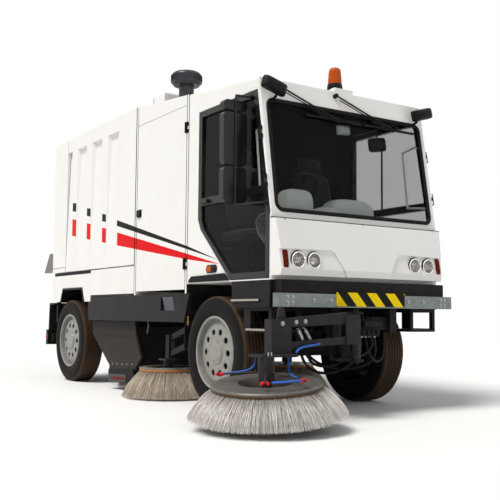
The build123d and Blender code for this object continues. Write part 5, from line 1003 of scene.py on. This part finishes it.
BACK_LEAN = (0.0, 0.225, 0.974)
for hand, x in (("right", -0.385), ("left", 0.385)):
    stand = gather(brick((x - 0.145, -0.035, 1.072), (x + 0.145, 0.295, 1.345)),
                   brick((x - 0.215, -0.12, 1.345), (x + 0.215, 0.32, 1.398)))
    base = piece("seat_stand_" + hand, stand, *BLACK, bevel=0.008)
    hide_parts("seats")
    for part, centre, lean, half, crown, lines in (
            ("cushion", (x, 0.095, 1.438), (0, 1, 0), (0.232, 0.232, 0.055), 0.25, (-0.58, 0.58)),
            ("back", (x, 0.262, 1.8), BACK_LEAN, (0.212, 0.31, 0.052), 0.25, (-0.58, 0.58)),
            ("head_rest", (x, 0.335, 2.17), BACK_LEAN, (0.125, 0.072, 0.042), 0.3, ())):
        made = piece(f"seat_{part}_{hand}", pad(centre, (1, 0, 0), lean, half, crown, lines),
                     "dark_seat_cloth", "chassis", "seat_fabric")

# %% [markdown]
# ## Mirrors, lamps and fittings of the cab
# The mirror glass looks backwards. The work lamps have ribbed lenses. Inside hang a mirror and a dome lamp.

# %% Cab fittings
def plate_outline(half_a, half_b, radius):
    """Corner arcs of a rounded rectangle about the origin."""
    return rounded(half_a, -half_b, half_b, radius, 6)


glasses = [slab(plate_outline(0.094, (z1 - z0) / 2 - 0.011, 0.02), (-0.985, -0.4692, (z0 + z1) / 2),
                (-1, 0, 0), UP, 0.0012)
           for z0, z1 in ((2.335, 2.412), (1.908, 2.318), (1.618, 1.892))]
piece("mirror_glass", gather(*glasses), "mirror_silver", "cab_door_right", "black_plastic")
for hand, side in SIDES:
    along, upright = (1, 0, 0.29 * side), (-0.29 * side, 0, 1)
    case = piece("work_lamp_case_" + hand, pad((side * 0.778, -0.745, 2.508), along, upright,
                                               (0.112, 0.05, 0.048), 0.25, ()),
                 *BLACK)
    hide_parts("work_lamps")
    face = pad((side * 0.778, -0.776, 2.508), along, upright, (0.096, 0.036, 0.02), 0.3, (-0.5, 0.0, 0.5))
    piece("work_lamp_lens_" + hand, face, "smoked_lamp_glass", "chassis", "black_plastic")
    foot = pipe([(side * 0.745, -0.745, 2.47), (side * 0.742, -0.72, 2.44), (side * 0.74, -0.69, 2.43)],
                0.011, 12)
    piece("work_lamp_foot_" + hand, foot, *BLACK)
visor = slab(plate_outline(0.092, 0.06, 0.03), (0.443, -0.535, 2.2355), (1, 0, 0.16), (-0.16, 0, 1), 0.028)
stay = pipe([(0.443, -0.548, 2.275), (0.443, -0.54, 2.36), (0.443, -0.52, 2.45), (0.443, -0.5, 2.57)],
            0.008)
piece("inside_mirror", gather(visor, stay), *BLACK, bevel=0.003)
piece("inside_lamp", pad((0.0535, -0.56, 2.311), (1, 0, 0.1), (-0.1, 0, 1), (0.068, 0.044, 0.03), 0.4, ()),
      "pale_lamp_silver", "chassis",
      "black_plastic")
dome_stay = pipe([(0.0535, -0.55, 2.35), (0.0535, -0.55, 2.46), (0.0535, -0.55, 2.57)], 0.012)
piece("inside_lamp_stay", dome_stay, *BLACK)
post = gather(brick((0.831, -0.184, 1.7), (0.845, -0.17, 2.41)),
              brick((0.812, 0.168, 2.035), (0.83, 0.19, 2.085)))
piece("door_window_post", post, "moulded_black_plastic", "cab_door_left", "door_black", bevel=0.002)

# %% [markdown]
# ## Dashboard
# A soft moulded dashboard is a swept desk with rounded housings on it: one over the instruments and one
# wide hump over the heater, each a dome whose outline is a superellipse.

# %% Dashboard form
def dome(centre, half, power=2.6, steps=40):
    """Upper half of |x/a|^p + |y/b|^p = 1 turned into a dome; height = c * (1 - r^p)^(1/p)."""
    t = np.linspace(0, 2 * math.pi, steps, endpoint=False)
    r = np.sin(np.linspace(0, 1, 12) * math.pi / 2)[::-1]
    h = (1 - r ** power) ** (1 / power)
    ex = np.sign(np.cos(t)) * np.abs(np.cos(t)) ** (2 / power)
    ey = np.sign(np.sin(t)) * np.abs(np.sin(t)) ** (2 / power)
    points = np.stack([r * ex[:, None], r * ey[:, None], h + 0 * t[:, None]], -1)
    return (points * half + centre).reshape(-1, 3), quads(steps, len(r), True)


desk_out = [(-0.789, 1.07), (-0.789, 1.49), (-0.766, 1.546), (-0.705, 1.556), (-0.575, 1.542),
            (-0.53, 1.51), (-0.522, 1.48),
            (-0.56, 1.38), (-0.66, 1.3), (-0.69, 1.07)]
desk_in = [(-0.779, 1.07), (-0.779, 1.486), (-0.76, 1.536), (-0.705, 1.545), (-0.58, 1.531),
           (-0.542, 1.504), (-0.534, 1.482),
           (-0.57, 1.386), (-0.667, 1.308), (-0.698, 1.07)]
desk = strip(desk_out, desk_in, -0.79, 0.79)
desk_obj = piece("dashboard_desk", desk, "grey_green_cab_moulding", "chassis", "cab_plastic", bevel=0.003)
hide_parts("dashboard")
# The housings take the paler copy of the moulding, painted light on their tops.
humps = gather(dome((0.1, -0.56, 1.54), (0.235, 0.13, 0.184), 3.6),
               dome((-0.165, -0.59, 1.54), (0.115, 0.105, 0.1), 3.0),
               dome((-0.484, -0.62, 1.54), (0.14, 0.09, 0.212), 4.5))
piece("dashboard_humps", humps, "pale_cab_moulding", "chassis", "cab_plastic", smooth=60)
column = pipe([(-0.385, -0.5, 1.76), (-0.385, -0.56, 1.64), (-0.385, -0.64, 1.48), (-0.385, -0.7, 1.36)],
              0.034, 20)
piece("steering_column", column, "moulded_black_plastic", "chassis", "cab_plastic")

# %% Second wiper arms and blade rubbers
WIPER_PIVOT_Z = 2.545


def over(x, down, out):
    """Point at x, down along the screen from the wipers' pivots, out from the cab's front plane."""
    return on_screen(x, WIPER_PIVOT_Z, out) + down * SCREEN_UP


for hand, pivot in (("right", -0.72), ("middle", -0.12)):
    tip = np.array([pivot, 0.0]) + (0.565, -0.208)
    arm = pipe([over(pivot + 0.03, -0.035, 0.024), over(tip[0] + 0.03, tip[1] - 0.028, 0.024),
                over(tip[0] + 0.028, tip[1] - 0.004, 0.018)], 0.0045, 8)
    spine = pipe([over(tip[0] - 0.27, tip[1], 0.0115), over(tip[0] - 0.1, tip[1], 0.0225),
                  over(tip[0], tip[1], 0.0245), over(tip[0] + 0.1, tip[1], 0.0225),
                  over(tip[0] + 0.27, tip[1], 0.0115)], 0.004, 8)
    piece("wiper_linkage_" + hand, gather(arm, spine), "moulded_black_plastic", "wiper_" + hand,
          "black_plastic")

# %% [markdown]
# ## Wheels
# A pressed disc with a raised step carries each hub, and a plain cover closes it. Behind the disc stands
# the brake drum, a cast ring that fills the hand holes with shadow. It belongs to the knuckle or the axle,
# not to the wheel.

# %% Hub covers and brake drums
for end, y in AXLES:
    for hand, side in SIDES:
        out = (side * 1.0, 0.0, 0.0)
        cover = turned([(0.0, 0.006), (0.066, 0.006), (0.07, 0.003), (0.078, 0.003), (0.084, 0.0),
                        (0.094, -0.001), (0.094, -0.004), (0.0, -0.004)][::-1],
                       (side * 0.8235, y, AXLE_Z), out, 48)
        piece(f"hub_cover_{end}_{hand}", cover, "silver_wheel_enamel", f"wheel_{end}_{hand}", "rim_silver")
        ring = [(0.11, 0.0), (0.2, 0.0), (0.206, 0.006), (0.206, 0.03), (0.2, 0.034), (0.2, 0.085),
                (0.194, 0.09), (0.11, 0.09)]
        drum = turned(ring + ring[:1], (side * 0.69, y, AXLE_Z), out, 48)
        keeper = "knuckle_" + hand if end == "front" else "chassis"
        piece(f"brake_drum_{end}_{hand}", drum, "cast_iron_painted", keeper, "axle_iron")

# %% [markdown]
# ## Brush chamber side
# The chamber's side sheet is folded along its top and holds a rubber strip that seals to the road, under a
# grey carrier with a red reflector.

# %% Chamber fittings
for hand, side in SIDES:
    u = (0, side, 0)
    row = [(side * CHAMBER_X, y, 0.274 - 0.0375 * (y - 1.625)) for y in np.linspace(1.625, 2.105, 5)]
    bolts("chamber_rivets_" + hand, 0.01, row, (side, 0, 0), "chassis", "chamber_paint")
    for part, outline, low, high, finish_name in (
            ("rubber", ((1.583, 0.24), (2.186, 0.2), (2.199, 0.058), (1.583, 0.105)), 0.8, 0.809,
             "seal_rubber"),
            ("carrier", ((1.75, 0.169), (2.183, 0.15), (2.19, 0.066), (1.75, 0.096)), 0.809, 0.8125,
             "painted_steel_intake"),
            ("reflector", ((1.77, 0.142), (2.12, 0.131), (2.12, 0.096), (1.77, 0.109)), 0.8125, 0.8145,
             "red_lens"),
            ("fold", ((1.66, 0.548), (2.49, 0.548), (2.49, 0.536), (1.66, 0.536)), 0.798, 0.8035,
             "worn_chamber_sheet")):
        flat = slab([(side * (y - 2.0), z) for y, z in outline], (side * low, 2.0, 0.0), u, UP, high - low)
        piece(f"chamber_{part}_{hand}", flat, finish_name, "chassis", "chamber_paint", bevel=0.0008)

# %% [markdown]
# ## Trim of the sides
# Black rubber and plastic trim closes the openings: a lip over each front wheel and a lined arch over each
# rear wheel; a black strip under the container is painted shade in the gap there. The steps end in bright
# toothed strips that hold a wet shoe.

# %% Arches, lips and steps
def toothed(y0, y1, low, high, count):
    """Upper path zigzags by 5 mm with the given number of teeth, the lower path is straight."""
    y = np.linspace(y0, y1, 2 * count + 1)
    return np.c_[y, high - 0.005 * (np.arange(len(y)) % 2)], np.c_[y, np.full(len(y), low)]


ARCH = np.array([(2.768, 0.893), (2.838, 1.056), (3.437, 1.056), (3.516, 0.893)])
ARCH_IN = np.array([(2.7715, 0.893), (2.8405, 1.0525), (3.4345, 1.0525), (3.5125, 0.893)])
ARCH_LIP = np.array([(2.788, 0.893), (2.852, 1.036), (3.423, 1.036), (3.496, 0.893)])
for hand, side in SIDES:
    u = (0, side, 0)
    wall = np.vstack([ARCH, [(3.49, 0.8), (2.79, 0.8)]]) - (3.14, 0.0)
    liner = gather(strip(ARCH, ARCH_IN, side * 0.52, side * 0.85),
                   strip(ARCH, ARCH_LIP, side * 0.85, side * 0.866),
                   slab(wall * (side, 1), (side * 0.52, 3.14, 0.0), u, UP, 0.004))
    piece("rear_arch_liner_" + hand, liner, "moulded_black_plastic", "chassis", "underbody")
    lip = np.array([(0.395, 1.04), (0.385, 1.062), (0.345, 1.09), (-0.2, 1.1), (-0.24, 1.07),
                    (-0.262, 1.046), (-0.262, 1.04)])
    flat = slab((lip - (0.07, 0)) * (side, 1), (side * SKIN_X, 0.07, 0.0), u, UP, 0.012)
    piece("front_arch_lip_" + hand, flat, "seal_rubber", "chassis", "underbody", bevel=0.003)
    # The black strip in the gap under the container is painted shade.
    seal = brick((side * 0.84 - 0.005, 2.602, 1.2065), (side * 0.84 + 0.005, 3.762, 1.2445))
    piece("container_gap_shade_" + hand, seal, "seal_rubber", "chassis", "underbody", bevel=0.001)
    for part, x0, x1, teeth in (("upper", 0.868, 0.876, toothed(-0.7, -0.312, 0.874, 0.891, 26)),
                                ("lower", 0.837, 0.846, toothed(-0.815, -0.48, 0.652, 0.668, 22))):
        piece(f"step_teeth_{part}_{hand}", strip(*teeth, side * x0, side * x1), "bright_tread_steel",
              "chassis", "zinc")
    t = np.linspace(0, 1, 12)
    bow = np.c_[side * (0.8555 - 0.0205 * np.sin(t * math.pi / 2)), 0.923 - 0.121 * t ** 1.3]
    points, faces = strip(bow, bow - (side * 0.0015, 0.0015), 0.702, 0.905)
    piece("skirt_scoop_" + hand, (points[:, [1, 0, 2]], faces), "deep_blue_enamel", "chassis",
          "skirt_paint")
    marker = turned([(0.0, 0.01), (0.018, 0.009), (0.026, 0.004), (0.028, 0.0), (0.0, 0.0)][::-1],
                    (side * 0.8502, 3.98, 0.485), (side, 0, 0), 28)
    piece("rear_side_marker_" + hand, marker, "amber_lens", "chassis", "lamp_red")
    dish = slab(plate_outline(0.046, 0.038, 0.01), (side * 0.86, 1.402, 1.737), u, UP, 0.0035)
    piece("service_door_plate_" + hand, dish, "moulded_black_plastic", "service_door_" + hand,
          "white_paint", bevel=0.001)

# %% [markdown]
# ## Intake cap
# Slots round the cap let the air in, so thin upright fins stand in a ring under its lid.

# %% Intake fins
cap_foot = ROOF_Z + ROOF_RISE * 0.97 + 0.19
steps = np.linspace(0, 2 * math.pi, 48, endpoint=False)
fin = brick((-0.0015, -0.004, 0.0), (0.0015, 0.004, 0.058))
fins = [(fin[0] @ np.array([[math.cos(t), math.sin(t), 0], [-math.sin(t), math.cos(t), 0], [0, 0, 1]])
         + np.array([-0.6 - 0.1465 * math.sin(t), 0.97 + 0.1465 * math.cos(t), cap_foot + 0.036]),
         fin[1]) for t in steps]
piece("intake_fins", gather(*fins), "painted_steel_intake", "chassis", "intake_steel")

# %% [markdown]
# ## Water hoses
# Three short rubber hoses feed the nozzles. Each is one smooth spline whose control points are the route's
# points, with a round section, so its bends look pressed and not bent like wire.

# %% Brush hoses
HOSE_TOP = 0.4857
HOSES = (
    ("supply", 0.393, [(-0.915, -1.136, HOSE_TOP), (-0.915, -1.136, 0.44), (-0.925, -1.157, 0.396),
                       (-0.943, -1.195, 0.368), (-0.985, -1.29, 0.362), (-1.046, -1.424, 0.362)]),
    ("cross", 0.197, [(-1.096, -1.53, 0.356), (-1.15, -1.526, 0.353), (-1.215, -1.5, 0.348),
                      (-1.274, -1.456, 0.342)]),
    ("back", 0.273, [(-1.15, -1.082, HOSE_TOP), (-1.15, -1.082, 0.445), (-1.169, -1.068, 0.408),
                     (-1.208, -1.039, 0.385), (-1.318, -0.957, 0.371)]),
)
for name, length, route in HOSES:
    curve = bpy.data.curves.new("hose_" + name, "CURVE")
    curve.dimensions = "3D"
    curve.bevel_depth = 0.0075
    curve.bevel_resolution = 4
    curve.resolution_u = 10
    curve.use_fill_caps = True
    spline = curve.splines.new("NURBS")
    spline.points.add(len(route) - 1)
    spline.points.foreach_set("co", np.c_[route, np.ones(len(route))].ravel())
    spline.order_u = 3
    spline.use_endpoint_u = True
    curve.materials.append(materials["blue_hose_rubber"])
    obj = bpy.data.objects.new("hose_" + name, curve)
    scene.collection.objects.link(obj)
    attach(obj, "front_head")
    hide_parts("arm_hoses")
    print(obj.name, length, "m long")

# %% [markdown]
# ## Hose along the arm
# A piece of the blue water hose is clipped under the lower beam and bends down at its end.

# %% Beam hose
beam_hose = pipe([(-0.642, -1.14, 0.568), (-0.7, -1.147, 0.5615), (-0.76, -1.153, 0.555),
                  (-0.8, -1.157, 0.549), (-0.828, -1.158, 0.541),
                  (-0.85, -1.158, 0.528), (-0.864, -1.158, 0.51)], 0.0075, 12)
clip = gather(brick((-0.69, -1.15, 0.556), (-0.674, -1.124, 0.578)),
              brick((-0.79, -1.16, 0.545), (-0.774, -1.124, 0.566)))
piece("beam_hose", beam_hose, "blue_hose_rubber", "arm_beam_lower", "hose_rubber")
piece("beam_hose_clips", clip, "arm_black_paint", "arm_beam_lower", "arm_paint", bevel=0.002)

# %% [markdown]
# ## Hydraulic hoses
# Behind the arm the hydraulic hoses sag between the valve block and the axle. Cutting the corners of a
# polygon again and again at a quarter and three quarters of each side gives the smooth line of a heavy
# hose.

# %% Hydraulic hoses
def smooth(points, rounds=3):
    """Corner cutting: each side p, q gives 3/4 p + 1/4 q and 1/4 p + 3/4 q; the ends stay."""
    points = np.asarray(points, float)
    for _ in range(rounds):
        p, q = points[:-1], points[1:]
        cut = np.stack([0.75 * p + 0.25 * q, 0.25 * p + 0.75 * q], 1).reshape(-1, 3)
        points = np.vstack([points[:1], cut, points[-1:]])
    return points


HYDRAULIC = (
    [(-0.09, -0.9, 0.63), (-0.11, -0.9, 0.5), (-0.3, -0.88, 0.38), (-0.52, -0.86, 0.4),
     (-0.56, -0.84, 0.58), (-0.4, -0.8, 0.74)],
    [(-0.05, -0.9, 0.63), (-0.06, -0.9, 0.46), (-0.25, -0.86, 0.33), (-0.48, -0.82, 0.34),
     (-0.55, -0.76, 0.5), (-0.42, -0.7, 0.7)],
    [(-0.01, -0.9, 0.63), (0.0, -0.92, 0.48), (0.1, -0.9, 0.4), (0.24, -0.84, 0.44), (0.34, -0.72, 0.66)],
    [(0.04, -0.9, 0.63), (0.05, -0.93, 0.52), (-0.12, -0.93, 0.44), (-0.34, -0.92, 0.47),
     (-0.38, -0.9, 0.62), (-0.36, -0.84, 0.74)],
    [(0.08, -0.9, 0.63), (0.1, -0.91, 0.42), (-0.1, -0.8, 0.34), (-0.36, -0.7, 0.4), (-0.4, -0.6, 0.56)])
loops = gather(*[pipe(smooth(path), 0.011, 10) for path in HYDRAULIC])
piece("hydraulic_hoses", loops, "seal_rubber", "chassis", "underbody")
unions = gather(*[turned([(0.0, -0.002), (0.016, -0.002), (0.016, 0.012), (0.013, 0.014), (0.013, 0.03),
                          (0.0, 0.03)],
                         np.array(path[0]) - (0, 0, 0.026), UP, 6) for path in HYDRAULIC])
piece("hose_unions", unions, "zinc_plated_bolt", "chassis", "zinc")

# %% [markdown]
# ## Springs, rods and chain
# Two coil springs hang from the upper beam and carry part of the brush's weight. Two steel rods guide the
# head's frame. A short chain holds the right side brush up for the road, and a brass fitting feeds its
# water.

# %% Small steel parts
springs = gather(coil((-0.832, -1.146, 0.664), (-0.8, -1.146, 0.603), 0.011, 0.002, 9),
                 coil((-0.775, -1.146, 0.667), (-0.734, -1.146, 0.605), 0.011, 0.002, 9),
                 pipe([(-0.836, -1.146, 0.676), (-0.832, -1.146, 0.664)], 0.003, 8),
                 pipe([(-0.838, -1.122, 0.676), (-0.836, -1.146, 0.676)], 0.003, 8),
                 pipe([(-0.783, -1.146, 0.68), (-0.775, -1.146, 0.667)], 0.003, 8),
                 pipe([(-0.785, -1.122, 0.682), (-0.783, -1.146, 0.68)], 0.003, 8))
piece("arm_springs", springs, "zinc_plated_bolt", "arm_beam_upper", "zinc")
rods = gather(pipe([(-1.146, -1.2265, 0.417), (-1.146, -1.2265, 0.522)], 0.005, 12),
              pipe([(-1.12, -1.2265, 0.408), (-1.12, -1.2265, 0.522)], 0.005, 12))
piece("head_guide_rods", rods, "zinc_plated_bolt", "front_head", "zinc")
route = np.array([(-0.822, 1.272, 0.722), (-0.822, 1.241, 0.663), (-0.822, 1.267, 0.587)])
turn = np.linspace(0, 2 * math.pi, 16, endpoint=False)
links = []
for start, end in zip(route, route[1:]):
    ahead = unit(end - start)
    e1, e2 = across(ahead)
    number = int(np.linalg.norm(end - start) / 0.013)
    for k in range(number):
        middle = start + (k + 0.5) / number * (end - start)
        wide = e1 if k % 2 else e2
        links.append(pipe(middle + 0.0085 * np.cos(turn)[:, None] * ahead + 0.005 * np.sin(turn)[:,
                None] * wide, 0.0016, 6, closed=True))
piece("side_brush_chain", gather(*links), "zinc_plated_bolt", "chassis", "zinc")
brass = turned([(0.0, 0.0), (0.008, 0.0), (0.008, 0.02), (0.012, 0.022), (0.012, 0.034), (0.007, 0.036),
                (0.007, 0.06), (0.01, 0.062), (0.01, 0.078),
                (0.0, 0.08)], (-0.822, 0.468, 0.676), UP, 12)
piece("water_fitting", brass, "brass_fitting", "chassis", "zinc")

# %% [markdown]
# ## Rear lamps
# Each cluster is split into amber, red and clear fields behind ribbed covers.

# %% Rear lenses
for hand, side in SIDES:
    for part, x0, x1, glass_name in (("turn", 0.762, 0.838, "amber_lens"),
                                     ("stop", 0.682, 0.758, "red_lens"),
                                     ("reverse", 0.612, 0.678, "clear_lamp_glass")):
        low, high = sorted((side * x0, side * x1))
        lens = ribbed_lens((low, 0.405), (high, 0.555), lambda b: 4.0095 + 0 * b, 0.008, 5, "y")
        piece(f"rear_{part}_lens_{hand}", lens, glass_name, "chassis", "lamp_red")

# %% [markdown]
# ## Floor, light and camera
# The floor is pale and matt. The world is white to the camera and to reflections, and gives a softer light
# to everything else. Two suns light the vehicle: a strong one high on the left draws the shadow, a weak
# wide one fills the front. The camera is the one that took the photograph.

# %% Studio
world = bpy.data.worlds.new("studio")
scene.world = world
world.use_nodes = True
tree = world.node_tree
tree.nodes.clear()
path = add(tree, "LightPath").outputs
seen = maths(tree, "MAXIMUM", path["Is Camera Ray"], path["Is Glossy Ray"])
seen = maths(tree, "MAXIMUM", seen, path["Is Transmission Ray"])
soft = add(tree, "Background", {"Color": linear("#F4F6FA"), "Strength": 0.34}).outputs[0]
white = add(tree, "Background", {"Color": (1, 1, 1, 1), "Strength": 1.0}).outputs[0]
add(tree, "OutputWorld", {"Surface": add(tree, "MixShader", {0: seen, 1: soft, 2: white}).outputs[0]})


for name, strength, size, towards in (("key", 2.9, 0.45, (-0.53, -0.06, 0.84)),
                                      ("front", 0.3, 0.8, (0.1, -0.75, 0.6))):
    data = bpy.data.lights.new(name, "SUN")
    data.energy = strength
    data.angle = size
    data.color = linear("#FFFCF7")[:3]
    lamp = bpy.data.objects.new(name, data)
    back = unit(np.array(towards))
    lamp.matrix_world = Matrix(np.stack([*across(back), back], 1).tolist()).to_4x4()
    scene.collection.objects.link(lamp)

# %% Floor
floor_mesh = bpy.data.meshes.new("floor")
floor_mesh.from_pydata([(-60, -60, 0), (60, -60, 0), (60, 60, 0), (-60, 60, 0)], [], [(0, 1, 2, 3)])
floor = bpy.data.objects.new("floor", floor_mesh)
scene.collection.objects.link(floor)
ground = finish("pale_studio_floor", "#F4F4F4", 0.8, cloud="#ECECEC", mottle=0.1, cloud_mm=900)
floor_mesh.materials.append(ground)
floor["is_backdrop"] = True

# %% Camera
camera_data = bpy.data.cameras.new("photo_camera")
camera_data.sensor_width = 36.0
camera_data.lens = 58.24
camera_data.clip_end = 200
camera = bpy.data.objects.new("photo_camera", camera_data)
yaw, pitch, roll = np.radians([33.21, 4.563, 0.479])
ahead = np.array([math.sin(yaw) * math.cos(pitch), math.cos(yaw) * math.cos(pitch), math.sin(pitch)])
right = np.array([math.cos(yaw), -math.sin(yaw), 0.0])
up = np.cross(right, ahead)
right, up = right * math.cos(roll) + up * math.sin(roll), up * math.cos(roll) - right * math.sin(roll)
camera.matrix_world = Matrix([[*row, p] for row, p in zip(np.stack([right, up, -ahead], 1).tolist(),
                                                          (-4.228, -5.702, 0.772))] + [[0, 0, 0, 1]])
scene.collection.objects.link(camera)
scene.camera = camera
scene.view_settings.view_transform = "Standard"

# %% Close
low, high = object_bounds()
print("visual box", [round(v, 3) for v in (*low, *high)])
